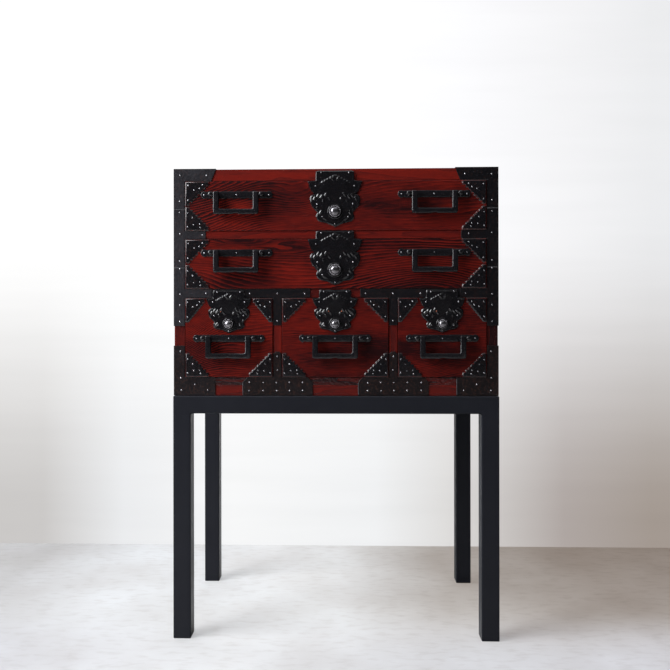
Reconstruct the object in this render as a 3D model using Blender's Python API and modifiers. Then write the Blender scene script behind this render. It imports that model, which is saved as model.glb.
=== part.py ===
"""A small red-lacquered drawer chest with black iron fittings, on a black steel stand.

Two wide drawers lie over three small ones. Every drawer has a push-to-lock boss, a bolt and bail handles.
The front faces -Y, +Z is up, and the origin is on the floor under the middle of the object's box.
"""
import math

import bmesh
import bpy
from mathutils import Matrix, Vector

MM = 0.001

# Clearance between pieces that touch, and how far one board is housed in another
GAP = 0.3 * MM
HOUSING = 5 * MM

# How far a cut runs past the face that it opens
CUT_PAST = 1 * MM

# Stand of square steel tube
STAND_MARGIN = 2 * MM
STAND_DEPTH = 350 * MM
STAND_HEIGHT = 456 * MM
TUBE = 33 * MM
TUBE_WALL = 3 * MM
TUBE_ROUNDING = 1.2 * MM
TUBE_WELD = 0.5 * MM

# Carcass
CHEST_WIDTH = 606 * MM
CHEST_DEPTH = 340 * MM
CHEST_SETBACK = 5 * MM
SIDE_THICKNESS = 20 * MM
TOP_THICKNESS = 22 * MM
BOTTOM_THICKNESS = 14.5 * MM
BACK_THICKNESS = 9 * MM
BACK_REBATE = 8 * MM
PLINTH_HEIGHT = 20 * MM
PLINTH_THICKNESS = 18 * MM
UPPER_RAIL = 15 * MM
LOWER_RAIL = 16.5 * MM
UPPER_OPENING = 94 * MM
LOWER_OPENING = 149.5 * MM
PARTITION = 16 * MM
CENTRE_OPENING = 201 * MM

# Drawers
DRAWER_GAP = 1 * MM
DRAWER_LIFT = 0.4 * MM
DRAWER_PROUD = 2 * MM
FRONT_THICKNESS = 22 * MM
TRAY_WALL = 9 * MM
TRAY_FLOOR = 7 * MM
TRAY_INSET = 1 * MM
TRAY_REBATE = 8 * MM
TRAY_DROP = 8 * MM
TRAY_REAR_CLEARANCE = 6 * MM

# Iron plates
IRON = 1.2 * MM
IRON_BACK_OFF = 0.4 * MM
IRON_EDGE = 0.4 * MM
IRON_BEND_SHARE = 0.9
STRAP_WRAP = 26 * MM
POST_STRAP = 19.4 * MM
TOP_ARM = 79 * MM
TOP_ARM_SLANT = 9 * MM
UPPER_ARM_LEFT = 59 * MM
UPPER_ARM_RIGHT = 68 * MM
LOWER_ARM = 69 * MM
POST_STRAP_DROP = 53 * MM
SEAM_DEPTH = 0.5 * MM
SEAM_WIDTH = 0.8 * MM
UPPER_SEAM_DROP = 74 * MM
LOWER_SEAM_DROP = 184 * MM
T_STRAP_INNER = 47 * MM
PARTITION_STRAP = 15 * MM
T_LEG_DROP = 52 * MM
FOOT_ARM = 77 * MM
FOOT_RISE = 94 * MM
BASE_HALF_WIDTH = 66 * MM
BASE_CORNER = 9 * MM
BASE_LEG_RISE = 83 * MM
BASE_LEG_TIP = 4 * MM

# Scalloped corner irons on the drawer fronts
CORNER_LEG = 45 * MM
CORNER_TO_LOCK = 1.15 * MM
CORNER_TIP = 5 * MM
CORNER_INSET = 0.6 * MM
SCALLOPS = 5
SCALLOP_DEPTH = 1.5 * MM
SCALLOP_STEPS = 4

# Lock plates: half outline under the tab, as shares of the half width and of the drop from the drawer's top
LOCK_SHAPE = [
    (1, 0.01), (0.903, 0.179), (0.829, 0.241), (0.707, 0.262), (0.887, 0.332), (0.903, 0.452),
    (0.829, 0.564), (0.732, 0.624), (0.65, 0.686), (0.691, 0.756), (0.65, 0.838), (0.524, 0.888),
    (0.342, 0.909), (0.117, 0.961),
]
LOCK_TAB_SHARE = 0.7
LOCK_TAB_RISE = 15.6 * MM
TOP_LOCK_TAB_RISE = 19 * MM
LOCK_TAB_FOOT = 1 * MM
WIDE_LOCK_HALF_WIDTH = 51.5 * MM
WIDE_LOCK_DROP = 87 * MM
SMALL_LOCK_HALF_WIDTH = 43 * MM
SMALL_LOCK_DROP = 66 * MM
LOCK_PLATE = 1.6 * MM
LOCK_FIELD = 0.8 * MM
LOCK_FIELD_SHARE = 0.86
WIDE_BOSS_DROP = 58 * MM
SMALL_BOSS_DROP = 48.5 * MM
WIDE_BOSS_RADIUS = 11.3 * MM
SMALL_BOSS_RADIUS = 8.8 * MM
BOSS_RISE_SHARE = 0.5
BOSS_RIM = 1 * MM
BOSS_SUNK = 2 * MM
COLLAR_WIDTH = 3.8 * MM
COLLAR_HEIGHT = 4 * MM
COLLAR_CLEARANCE = 0.5 * MM
STEM_HOLE = 7.8 * MM
TURN_STEPS = 24
KEYHOLE_OFFSET = 24 * MM
KEYHOLE_RADIUS = 2.2 * MM
KEYHOLE_SLOT = 7 * MM
KEYHOLE_DEPTH = 8 * MM

# Lock mechanism: a wedge on the boss lifts the bolt by LIFT_RATIO times the press
PRESS = 3 * MM
LIFT_RATIO = 1.5
STEM_WIDTH = 8 * MM
STEM_HEIGHT = 12 * MM
STEM_CLEARANCE = 0.4 * MM
BOLT_WIDTH = 20 * MM
BOLT_THICKNESS = 3.5 * MM
BOLT_DEPTH = 9.5 * MM
BOLT_FOOT = 8 * MM
BOLT_TOP_DROP = 0.4 * MM
STRIKE_DEPTH = 6.5 * MM
MORTISE_HEADROOM = 2 * MM

# Handles
PLATE_LENGTH = 135.8 * MM
PLATE_HEIGHT = 13 * MM
PLATE_END_LOBE = 7 * MM
PLATE_LOBE_STEPS = 11
PLATE_LOBE_SWEEP = math.radians(252)
WIDE_HANDLE_INSET = 97 * MM
WIDE_HANDLE_DROP = 25.5 * MM
SMALL_HANDLE_DROP = 75.5 * MM
POST_SPREAD = 47.6 * MM
POST_RADIUS = 4.7 * MM
POST_TIP = 4.5 * MM
POST_STEPS = 16
PIVOT_OUT = 10.5 * MM
PIN_RADIUS = 2.1 * MM
PIN_REACH = 3.4 * MM
PIN_STEPS = 12
BAIL_WIDTH = 85 * MM
BAIL_ARM = 10.5 * MM
BAIL_BAR = 9.5 * MM
BAIL_THICKNESS = 9 * MM
BAIL_DROP = 37.5 * MM
BAIL_TOP = 4.6 * MM
BAIL_CHAMFER = 1.6 * MM
BAIL_NOTCH = 5 * MM
BAIL_NOTCH_DEPTH = 1.2 * MM

# Places worked out from the sizes above
REACH = DRAWER_PROUD + PIVOT_OUT + BAIL_THICKNESS / 2 - CHEST_SETBACK
STAND_WIDTH = CHEST_WIDTH + 2 * STAND_MARGIN
STAND_FRONT = REACH - (STAND_DEPTH + REACH) / 2
FRONT = STAND_FRONT + CHEST_SETBACK
REAR = FRONT + CHEST_DEPTH
HALF = CHEST_WIDTH / 2
INNER_HALF = HALF - SIDE_THICKNESS
SIDE_OPENING = INNER_HALF - CENTRE_OPENING / 2 - PARTITION
PARTITION_X = (CENTRE_OPENING + PARTITION) / 2
LOWER_X = CENTRE_OPENING / 2 + PARTITION + SIDE_OPENING / 2
PLINTH_Z = STAND_HEIGHT + GAP
BOTTOM_Z = PLINTH_Z + PLINTH_HEIGHT + GAP
LOWER_Z = BOTTOM_Z + BOTTOM_THICKNESS
LOWER_SHELF_Z = LOWER_Z + LOWER_OPENING
MIDDLE_Z = LOWER_SHELF_Z + LOWER_RAIL
UPPER_SHELF_Z = MIDDLE_Z + UPPER_OPENING
UPPER_Z = UPPER_SHELF_Z + UPPER_RAIL
TOP_Z = UPPER_Z + UPPER_OPENING
CHEST_TOP = TOP_Z + TOP_THICKNESS
BACK_FACE = REAR - BACK_THICKNESS
IRON_Y = FRONT - GAP - IRON / 2
FACE = FRONT - DRAWER_PROUD
PLATE_Y = FACE - GAP - LOCK_PLATE / 2
PIVOT_Y = FACE - PIVOT_OUT

for old in list(bpy.data.objects):
    bpy.data.objects.remove(old, do_unlink=True)
PARTS = bpy.data.collections.new("tansu_chest")
CUTTERS = bpy.data.collections.new("cutters")
for collection in (PARTS, CUTTERS):
    bpy.context.scene.collection.children.link(collection)


def material(name, colour, roughness, metallic):
    made = bpy.data.materials.new(name)
    made.use_nodes = True
    shader = made.node_tree.nodes["Principled BSDF"]
    shader.inputs["Base Color"].default_value = (*colour, 1)
    shader.inputs["Roughness"].default_value = roughness
    shader.inputs["Metallic"].default_value = metallic
    return made


LACQUER = material("red_lacquer", (0.22, 0.02, 0.015), 0.3, 0)
PALE_WOOD = material("tray_wood", (0.45, 0.3, 0.17), 0.6, 0)
BLACK_IRON = material("black_iron", (0.02, 0.02, 0.024), 0.45, 0.8)
STAND_PAINT = material("stand_paint", (0.012, 0.012, 0.014), 0.45, 0)


def add(name, mesh, centre, finish, parent=None):
    """Add a part with its origin at centre, a world place."""
    made = bpy.data.objects.new(name, mesh)
    made.parent = parent
    made.location = Vector(centre) - (parent.location if parent else Vector())
    made.data.materials.append(finish)
    PARTS.objects.link(made)
    return made


def tool(name, mesh, centre, parent=None):
    """Add a hidden shape that cuts another or is joined to it."""
    made = bpy.data.objects.new(name, mesh)
    made.parent = parent
    made.location = Vector(centre) - (parent.location if parent else Vector())
    made.hide_render = True
    made.display_type = "WIRE"
    CUTTERS.objects.link(made)
    return made


def combine(target, other, operation):
    step = target.modifiers.new(other.name, "BOOLEAN")
    step.operation = operation
    step.object = other


def middle(low, high):
    return (Vector(low) + Vector(high)) / 2


def box_mesh(low, high):
    shape = bmesh.new()
    bmesh.ops.create_cube(shape, size=1)
    bmesh.ops.scale(shape, vec=Vector(high) - Vector(low), verts=shape.verts)
    mesh = bpy.data.meshes.new("box")
    shape.to_mesh(mesh)
    shape.free()
    return mesh


def board(name, low, high, finish=LACQUER, parent=None):
    return add(name, box_mesh(low, high), middle(low, high), finish, parent)


def cut_box(target, name, low, high):
    """Cut a box, given in world places, out of target."""
    combine(target, tool(name, box_mesh(low, high), middle(low, high), target.parent), "DIFFERENCE")


def house(targets, name, low, high):
    """Cut room for a board, with clearance all round, out of the boards that hold it."""
    spread = Vector((GAP, GAP, GAP))
    cutter = tool(name, box_mesh(Vector(low) - spread, Vector(high) + spread), middle(low, high))
    for target in targets:
        combine(target, cutter, "DIFFERENCE")


def rod_mesh(radius, length, steps, axis):
    """A cylinder about its middle, along X or Y, with flats and not edges to the sides and top."""
    shape = bmesh.new()
    bmesh.ops.create_cone(
        shape, cap_ends=True, segments=steps, radius1=radius, radius2=radius, depth=length
    )
    half_step = Matrix.Rotation(math.pi / steps, 3, "Z")
    turn = Matrix.Rotation(math.pi / 2, 3, "Y" if axis == "X" else "X") @ half_step
    bmesh.ops.rotate(shape, matrix=turn, verts=shape.verts)
    mesh = bpy.data.meshes.new("rod")
    shape.to_mesh(mesh)
    shape.free()
    return mesh


def outline_mesh(points, thickness, across="X"):
    """A flat outline, drawn upright as (across, z), with its thickness about its own plane."""
    curve = bpy.data.curves.new("outline", "CURVE")
    curve.dimensions = "2D"
    curve.fill_mode = "BOTH"
    curve.extrude = thickness / 2
    spline = curve.splines.new("POLY")
    spline.points.add(len(points) - 1)
    for point, (u, v) in zip(spline.points, points):
        point.co = (u, v, 0, 1)
    spline.use_cyclic_u = True
    drawn = bpy.data.objects.new("outline", curve)
    CUTTERS.objects.link(drawn)
    graph = bpy.context.evaluated_depsgraph_get()
    mesh = bpy.data.meshes.new_from_object(drawn.evaluated_get(graph))
    bpy.data.objects.remove(drawn, do_unlink=True)
    shape = bmesh.new()
    shape.from_mesh(mesh)
    bmesh.ops.remove_doubles(shape, verts=shape.verts, dist=0.001 * MM)
    turn = Matrix.Rotation(math.pi / 2, 3, "X")
    if across == "Y":
        turn = Matrix.Rotation(math.pi / 2, 3, "Z") @ turn
    bmesh.ops.rotate(shape, matrix=turn, verts=shape.verts)
    bmesh.ops.recalc_face_normals(shape, faces=shape.faces)
    shape.to_mesh(mesh)
    shape.free()
    return mesh


def turned(target_name, profile, closed, place, parent):
    """A hidden turned shape about a line along -Y, from (radius, height) points down the outer side."""
    mesh = bpy.data.meshes.new("profile")
    count = len(profile)
    edges = [(i, i + 1) for i in range(count - 1)]
    if closed:
        edges.append((count - 1, 0))
    mesh.from_pydata([(r, 0, h) for r, h in profile], edges, [])
    made = tool(target_name, mesh, place, parent)
    made.rotation_euler = (math.pi / 2, 0, 0)
    spin = made.modifiers.new("turn", "SCREW")
    spin.steps = TURN_STEPS
    spin.render_steps = TURN_STEPS
    spin.use_merge_vertices = True
    spin.merge_threshold = 0.01 * MM
    return made


def stand():
    """The welded frame: one block opened between the legs, then bored out to tube."""
    half = STAND_WIDTH / 2
    rear = STAND_FRONT + STAND_DEPTH
    under = STAND_HEIGHT - TUBE
    past = TUBE
    frame = board("stand_frame", (-half, STAND_FRONT, 0), (half, rear, STAND_HEIGHT), STAND_PAINT)
    inner_x = half - TUBE
    inner_front = STAND_FRONT + TUBE
    inner_rear = rear - TUBE
    cut_box(
        frame, "stand_front_way", (-inner_x, STAND_FRONT - past, -past), (inner_x, rear + past, under)
    )
    cut_box(
        frame, "stand_side_way", (-half - past, inner_front, -past), (half + past, inner_rear, under)
    )
    cut_box(
        frame,
        "stand_top_way",
        (-inner_x, inner_front, under - past),
        (inner_x, inner_rear, STAND_HEIGHT + past),
    )
    edges = frame.modifiers.new("rounding", "BEVEL")
    edges.width = TUBE_ROUNDING
    edges.segments = 1
    edges.limit_method = "ANGLE"
    bore = TUBE / 2 - TUBE_WALL
    rail_bore = bore - TUBE_WELD
    rail_z = STAND_HEIGHT - TUBE / 2
    far_x = half - TUBE / 2
    near_y = STAND_FRONT + TUBE / 2
    far_y = rear - TUBE / 2
    for x in (-far_x, far_x):
        for y in (near_y, far_y):
            leg_top = STAND_HEIGHT - TUBE_WALL
            cut_box(frame, "leg_bore", (x - bore, y - bore, -past), (x + bore, y + bore, leg_top))
        cut_box(
            frame,
            "side_rail_bore",
            (x - rail_bore, near_y, rail_z - rail_bore),
            (x + rail_bore, far_y, rail_z + rail_bore),
        )
    for y in (near_y, far_y):
        cut_box(
            frame,
            "long_rail_bore",
            (-far_x, y - rail_bore, rail_z - rail_bore),
            (far_x, y + rail_bore, rail_z + rail_bore),
        )


def carcass():
    """Boards housed in one another; returns those that the lock bolts rise into."""
    top = board("top_board", (-HALF, FRONT, TOP_Z), (HALF, REAR, CHEST_TOP))
    bottom = board("bottom_board", (-HALF, FRONT, BOTTOM_Z), (HALF, REAR, LOWER_Z))
    sides = []
    for name, x in (("left_side", -HALF), ("right_side", INNER_HALF)):
        low = (x, FRONT, LOWER_Z - HOUSING)
        high = (x + SIDE_THICKNESS, REAR, TOP_Z + HOUSING)
        house([top, bottom], name + "_housing", low, high)
        sides.append(board(name, low, high))
    back_reach = INNER_HALF + BACK_REBATE
    low = (-back_reach, BACK_FACE, LOWER_Z - BACK_REBATE)
    high = (back_reach, REAR - GAP, TOP_Z + BACK_REBATE)
    board("back_panel", low, high)
    house([top, bottom, *sides], "back_rebate", low, high)
    shelves = {}
    shelf_reach = INNER_HALF + HOUSING
    for name, z, height in (
        ("upper_shelf", UPPER_SHELF_Z, UPPER_RAIL),
        ("lower_shelf", LOWER_SHELF_Z, LOWER_RAIL),
    ):
        low = (-shelf_reach, FRONT, z)
        high = (shelf_reach, BACK_FACE - 2 * GAP, z + height)
        shelves[name] = board(name, low, high)
        house(sides, name + "_housing", low, high)
    for name, x in (("left_partition", -PARTITION_X), ("right_partition", PARTITION_X)):
        low = (x - PARTITION / 2, FRONT, LOWER_Z - HOUSING)
        high = (x + PARTITION / 2, BACK_FACE - 2 * GAP, LOWER_SHELF_Z + HOUSING)
        board(name, low, high)
        house([bottom, shelves["lower_shelf"]], name + "_housing", low, high)
    high_z = PLINTH_Z + PLINTH_HEIGHT
    behind = FRONT + PLINTH_THICKNESS
    board("plinth_front", (-HALF, FRONT, PLINTH_Z), (HALF, behind, high_z))
    board("plinth_left", (-HALF, behind + GAP, PLINTH_Z), (PLINTH_THICKNESS - HALF, REAR, high_z))
    board("plinth_right", (HALF - PLINTH_THICKNESS, behind + GAP, PLINTH_Z), (HALF, REAR, high_z))
    return top, shelves["upper_shelf"], shelves["lower_shelf"]


def flange(target, name, low, high):
    """Join the part of a strap that is folded back over the chest's side or top."""
    combine(target, tool(name, box_mesh(low, high), middle(low, high)), "UNION")


def strap(name, points, side):
    """A flat iron on the chest's front, drawn as (distance in from the outer edge, z) for one side."""
    outline = [(side * (HALF - u), v) for u, v in points]
    return add(name, outline_mesh(outline, IRON), (0, IRON_Y, 0), BLACK_IRON)


def side_flange(target, name, side, low_z, high_z):
    outer = side * (HALF + GAP + IRON)
    inner = side * (HALF + GAP)
    flange(
        target, name, (min(outer, inner), IRON_Y, low_z), (max(outer, inner), FRONT + STRAP_WRAP, high_z)
    )


def carcass_irons():
    """Post straps, T straps on the lower rail, foot corners and base straps, for both sides."""
    bend = IRON_BEND_SHARE * IRON
    fold = -GAP - bend
    crown = CHEST_TOP + GAP + bend
    edge = IRON_EDGE
    for word, side, upper_arm in (("left", -1, UPPER_ARM_LEFT), ("right", 1, UPPER_ARM_RIGHT)):
        foot = LOWER_SHELF_Z - POST_STRAP_DROP
        post = strap(
            word + "_post_strap",
            [
                (fold, foot), (POST_STRAP, foot),
                (POST_STRAP, LOWER_SHELF_Z + edge), (LOWER_ARM, LOWER_SHELF_Z + edge),
                (LOWER_ARM, MIDDLE_Z - edge), (POST_STRAP, MIDDLE_Z - edge),
                (POST_STRAP, UPPER_SHELF_Z + edge), (upper_arm, UPPER_SHELF_Z + edge),
                (upper_arm, UPPER_Z - edge), (POST_STRAP, UPPER_Z - edge),
                (POST_STRAP, TOP_Z + edge), (TOP_ARM - TOP_ARM_SLANT, TOP_Z + edge),
                (TOP_ARM, crown), (fold, crown),
            ],
            side,
        )
        side_flange(post, word + "_post_wrap", side, foot + edge, CHEST_TOP + GAP + IRON / 2)
        reach = side * (HALF - TOP_ARM + edge)
        corner = side * (HALF + GAP + IRON / 2)
        flange(
            post,
            word + "_top_wrap",
            (min(reach, corner), IRON_Y, CHEST_TOP + GAP),
            (max(reach, corner), FRONT + STRAP_WRAP - IRON, CHEST_TOP + GAP + IRON),
        )
        for drop in (UPPER_SEAM_DROP, LOWER_SEAM_DROP):
            seam = CHEST_TOP - drop
            inner = side * (HALF - POST_STRAP)
            outer = side * (HALF + STRAP_WRAP)
            cut_box(
                post,
                word + "_seam",
                (min(inner, outer) - IRON, FRONT - 2 * IRON, seam - SEAM_WIDTH / 2),
                (max(inner, outer) + IRON, IRON_Y - IRON / 2 + SEAM_DEPTH, seam + SEAM_WIDTH / 2),
            )
        leg = HALF - PARTITION_X
        half_leg = PARTITION_STRAP / 2
        strap(
            word + "_t_strap",
            [
                (LOWER_ARM + edge, LOWER_SHELF_Z + edge), (leg - half_leg, LOWER_SHELF_Z + edge),
                (leg - half_leg, LOWER_SHELF_Z - T_LEG_DROP), (leg + half_leg, LOWER_SHELF_Z - T_LEG_DROP),
                (leg + half_leg, LOWER_SHELF_Z + edge), (HALF - T_STRAP_INNER, LOWER_SHELF_Z + edge),
                (HALF - T_STRAP_INNER, MIDDLE_Z - edge), (LOWER_ARM + edge, MIDDLE_Z - edge),
            ],
            side,
        )
        head = PLINTH_Z + FOOT_RISE
        corner_iron = strap(
            word + "_foot_corner",
            [
                (fold, PLINTH_Z + edge), (FOOT_ARM, PLINTH_Z + edge), (FOOT_ARM, LOWER_Z - edge),
                (POST_STRAP, LOWER_Z - edge), (POST_STRAP, head), (fold, head),
            ],
            side,
        )
        side_flange(corner_iron, word + "_foot_wrap", side, PLINTH_Z + 2 * edge, head - edge)
        strap(
            word + "_base_strap",
            [
                (leg - BASE_HALF_WIDTH, PLINTH_Z + edge), (leg + BASE_HALF_WIDTH, PLINTH_Z + edge),
                (leg + BASE_HALF_WIDTH, LOWER_Z - BASE_CORNER),
                (leg + BASE_HALF_WIDTH - BASE_CORNER, LOWER_Z - edge), (leg + half_leg, LOWER_Z - edge),
                (leg + half_leg, PLINTH_Z + BASE_LEG_RISE - BASE_LEG_TIP),
                (leg + half_leg - BASE_LEG_TIP, PLINTH_Z + BASE_LEG_RISE),
                (leg - half_leg + BASE_LEG_TIP, PLINTH_Z + BASE_LEG_RISE),
                (leg - half_leg, PLINTH_Z + BASE_LEG_RISE - BASE_LEG_TIP),
                (leg - half_leg, LOWER_Z - edge), (leg - BASE_HALF_WIDTH + BASE_CORNER, LOWER_Z - edge),
                (leg - BASE_HALF_WIDTH, LOWER_Z - BASE_CORNER),
            ],
            side,
        )


def corner_outline(leg):
    """A right triangle with a scalloped long side, drawn from its right angle."""
    points = [(0, 0), (leg, 0)]
    start = Vector((leg, CORNER_TIP))
    step = (Vector((CORNER_TIP, leg)) - start) / SCALLOPS
    outward = Vector((1, 1)).normalized()
    for lobe in range(SCALLOPS):
        for i in range(SCALLOP_STEPS):
            share = i / SCALLOP_STEPS
            bulge = SCALLOP_DEPTH * (math.sin(math.pi * share) - 1)
            points.append(tuple(start + step * (lobe + share) + outward * bulge))
    points.append((0, leg))
    return points


def lock_outline(wide, tab_rise):
    """The plate's whole outline about the middle of the drawer's top edge."""
    half_width = WIDE_LOCK_HALF_WIDTH if wide else SMALL_LOCK_HALF_WIDTH
    drop = WIDE_LOCK_DROP if wide else SMALL_LOCK_DROP
    tab = LOCK_TAB_SHARE * half_width
    right = [(tab, tab_rise), (tab, LOCK_TAB_FOOT)]
    right += [(u * half_width, -v * drop) for u, v in LOCK_SHAPE]
    left = [(-x, z) for x, z in reversed(right)]
    return right + [(0, -drop)] + left


def keyhole_outline():
    """A round hole with a slot below it."""
    half_slot = KEYHOLE_RADIUS / 2
    bend = math.asin(half_slot / KEYHOLE_RADIUS)
    first = -math.pi / 2 + bend
    sweep = 2 * (math.pi - bend)
    arc = [first + sweep * i / 10 for i in range(11)]
    points = [(KEYHOLE_RADIUS * math.cos(a), KEYHOLE_RADIUS * math.sin(a)) for a in arc]
    return points + [(-half_slot, -KEYHOLE_SLOT), (half_slot, -KEYHOLE_SLOT)]


def handle_outline():
    """A long plate that narrows before a round lobe at each end."""
    centre = PLATE_LENGTH / 2 - PLATE_END_LOBE
    half = PLATE_HEIGHT / 2
    waist = centre - PLATE_END_LOBE
    arc = [PLATE_LOBE_SWEEP * (0.5 - i / PLATE_LOBE_STEPS) for i in range(PLATE_LOBE_STEPS + 1)]
    lobe = [(centre + PLATE_END_LOBE * math.cos(a), PLATE_END_LOBE * math.sin(a)) for a in arc]
    right = [(waist, half)] + lobe + [(waist, -half)]
    return right + [(-u, -v) for u, v in right]


def bail_outline():
    """A square U hanging from the pivot line, with a small notch in the middle of its bar."""
    outer = BAIL_WIDTH / 2
    inner = outer - BAIL_ARM
    bar = BAIL_BAR - BAIL_DROP
    cut = BAIL_CHAMFER
    left = [
        (-inner, BAIL_TOP), (cut - outer, BAIL_TOP), (-outer, BAIL_TOP - cut),
        (-outer, cut * 2 - BAIL_DROP), (cut * 2 - outer, -BAIL_DROP),
    ]
    notch = [(-BAIL_NOTCH, -BAIL_DROP), (0, BAIL_NOTCH_DEPTH - BAIL_DROP), (BAIL_NOTCH, -BAIL_DROP)]
    right = [(-u, v) for u, v in reversed(left)]
    inside = [(inner, bar + cut), (inner - cut, bar), (cut - inner, bar), (-inner, bar + cut)]
    return left + notch + right + inside


def handle(prefix, x, z, parent):
    """A backplate with two bored posts, and the bail whose pins sit in them."""
    shape = outline_mesh(handle_outline(), LOCK_PLATE)
    plate = add(prefix + "_plate", shape, (x, PLATE_Y, z), BLACK_IRON, parent)
    length = PIVOT_OUT + POST_TIP - GAP - LOCK_PLATE / 2
    for side in (-1, 1):
        post_x = x + side * POST_SPREAD
        post = tool(
            prefix + "_post",
            rod_mesh(POST_RADIUS, length, POST_STEPS, "Y"),
            (post_x, PLATE_Y - length / 2, z),
            parent,
        )
        combine(plate, post, "UNION")
        bore_length = POST_RADIUS + PIN_REACH
        bore = tool(
            prefix + "_pin_bore",
            rod_mesh(PIN_RADIUS + GAP, bore_length, PIN_STEPS, "X"),
            (post_x - side * bore_length / 2 + side * (PIN_REACH - POST_RADIUS + GAP), PIVOT_Y, z),
            parent,
        )
        combine(plate, bore, "DIFFERENCE")
    pivot = (x, PIVOT_Y, z)
    bail = add(prefix + "_bail", outline_mesh(bail_outline(), BAIL_THICKNESS), pivot, BLACK_IRON, parent)
    for side in (-1, 1):
        inside = BAIL_WIDTH / 2 - BAIL_ARM / 2
        outside = POST_SPREAD - POST_RADIUS + PIN_REACH
        pin = tool(
            prefix + "_pin",
            rod_mesh(PIN_RADIUS, outside - inside, PIN_STEPS, "X"),
            (x + side * (inside + outside) / 2, PIVOT_Y, z),
            parent,
        )
        combine(bail, pin, "UNION")


def lock(prefix, x, top_z, wide, tab_rise, front, keeper, parent):
    """Lock plate with its collar, the boss on a wedge, the bolt it lifts, and the room they need."""
    drop = WIDE_BOSS_DROP if wide else SMALL_BOSS_DROP
    radius = WIDE_BOSS_RADIUS if wide else SMALL_BOSS_RADIUS
    z = top_z - drop
    outline = lock_outline(wide, tab_rise)
    shape = outline_mesh(outline, LOCK_PLATE)
    plate = add(prefix + "_lock_plate", shape, (x, PLATE_Y, top_z), BLACK_IRON, parent)
    plate_face = PLATE_Y - LOCK_PLATE / 2
    field = [(u * LOCK_FIELD_SHARE, (v + drop) * LOCK_FIELD_SHARE) for u, v in outline]
    raised = tool(
        prefix + "_field", outline_mesh(field, 2 * LOCK_FIELD), (x, plate_face, z), parent
    )
    combine(plate, raised, "UNION")
    inner = radius + COLLAR_CLEARANCE
    outer = inner + COLLAR_WIDTH
    crest = COLLAR_HEIGHT - COLLAR_WIDTH / 4
    root = -LOCK_PLATE / 2
    rim = outer - COLLAR_WIDTH / 4
    ring = [(inner, root), (inner, COLLAR_HEIGHT), (rim, COLLAR_HEIGHT), (outer, crest), (outer, root)]
    combine(plate, turned(prefix + "_collar", ring, True, (x, plate_face, z), parent), "UNION")
    hole = rod_mesh(STEM_HOLE, 4 * LOCK_PLATE, TURN_STEPS, "Y")
    combine(plate, tool(prefix + "_stem_hole", hole, (x, plate_face, z), parent), "DIFFERENCE")
    key = tool(
        prefix + "_keyhole",
        outline_mesh(keyhole_outline(), 2 * KEYHOLE_DEPTH),
        (x + KEYHOLE_OFFSET, FACE, z),
        parent,
    )
    combine(plate, key, "DIFFERENCE")
    combine(front, key, "DIFFERENCE")

    wedge_start = BOLT_DEPTH - PRESS
    wedge_end = BOLT_DEPTH + BOLT_THICKNESS
    half = STEM_HEIGHT / 2
    seat = plate_face - LOCK_FIELD - PRESS - STEM_CLEARANCE
    root_depth = seat - BOSS_SUNK - FACE
    wedge = [
        (root_depth, -half), (wedge_end, -half),
        (wedge_end, half - LIFT_RATIO * (wedge_end - wedge_start)), (wedge_start, half), (root_depth, half),
    ]
    shape = outline_mesh(wedge, STEM_WIDTH, "Y")
    boss = add(prefix + "_lock_boss", shape, (x, FACE, z), BLACK_IRON, parent)
    rise = radius * BOSS_RISE_SHARE
    arc = [math.pi / 2 * (1 - i / 6) for i in range(7)]
    dome = [(radius * math.cos(a), BOSS_RIM + rise * math.sin(a)) for a in arc]
    dome[0] = (0, BOSS_RIM + rise)
    dome += [(radius, 0), (0, 0)]
    combine(boss, turned(prefix + "_dome", dome, False, (x, seat, z), parent), "UNION")
    way_half = STEM_WIDTH / 2 + STEM_CLEARANCE
    way_rise = half + STEM_CLEARANCE
    way_end = FACE + wedge_end + PRESS + STEM_CLEARANCE
    cut_box(
        front,
        prefix + "_stem_way",
        (x - way_half, FACE - CUT_PAST, z - way_rise),
        (x + way_half, way_end, z + way_rise),
    )

    lift = PRESS * LIFT_RATIO
    window_foot = -half - STEM_CLEARANCE - lift
    foot = z + window_foot - BOLT_FOOT
    bolt_low = (x - BOLT_WIDTH / 2, FACE + BOLT_DEPTH, foot)
    bolt_high = (x + BOLT_WIDTH / 2, FACE + BOLT_DEPTH + BOLT_THICKNESS, top_z - BOLT_TOP_DROP)
    bolt = board(prefix + "_lock_bolt", bolt_low, bolt_high, BLACK_IRON, parent)
    near = BOLT_DEPTH - CUT_PAST
    far = BOLT_DEPTH + BOLT_THICKNESS + CUT_PAST
    slope = [half + STEM_CLEARANCE - LIFT_RATIO * (d - wedge_start) for d in (near, far)]
    window = [(near, window_foot), (far, window_foot), (far, slope[1]), (near, slope[0])]
    opening = outline_mesh(window, 2 * way_half, "Y")
    combine(bolt, tool(prefix + "_bolt_window", opening, (x, FACE, z), parent), "DIFFERENCE")
    side_room = Vector((GAP, GAP, GAP))
    mortise_low = Vector(bolt_low) - side_room
    mortise_high = Vector(bolt_high) + side_room + Vector((0, 0, MORTISE_HEADROOM))
    cut_box(front, prefix + "_bolt_mortise", mortise_low, mortise_high)
    strike_low = (bolt_low[0] - 2 * GAP, bolt_low[1] - 2 * GAP, top_z - CUT_PAST)
    strike_high = (bolt_high[0] + 2 * GAP, bolt_high[1] + 2 * GAP, top_z + DRAWER_GAP + STRIKE_DEPTH)
    cut_box(keeper, prefix + "_strike", strike_low, strike_high)


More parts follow.
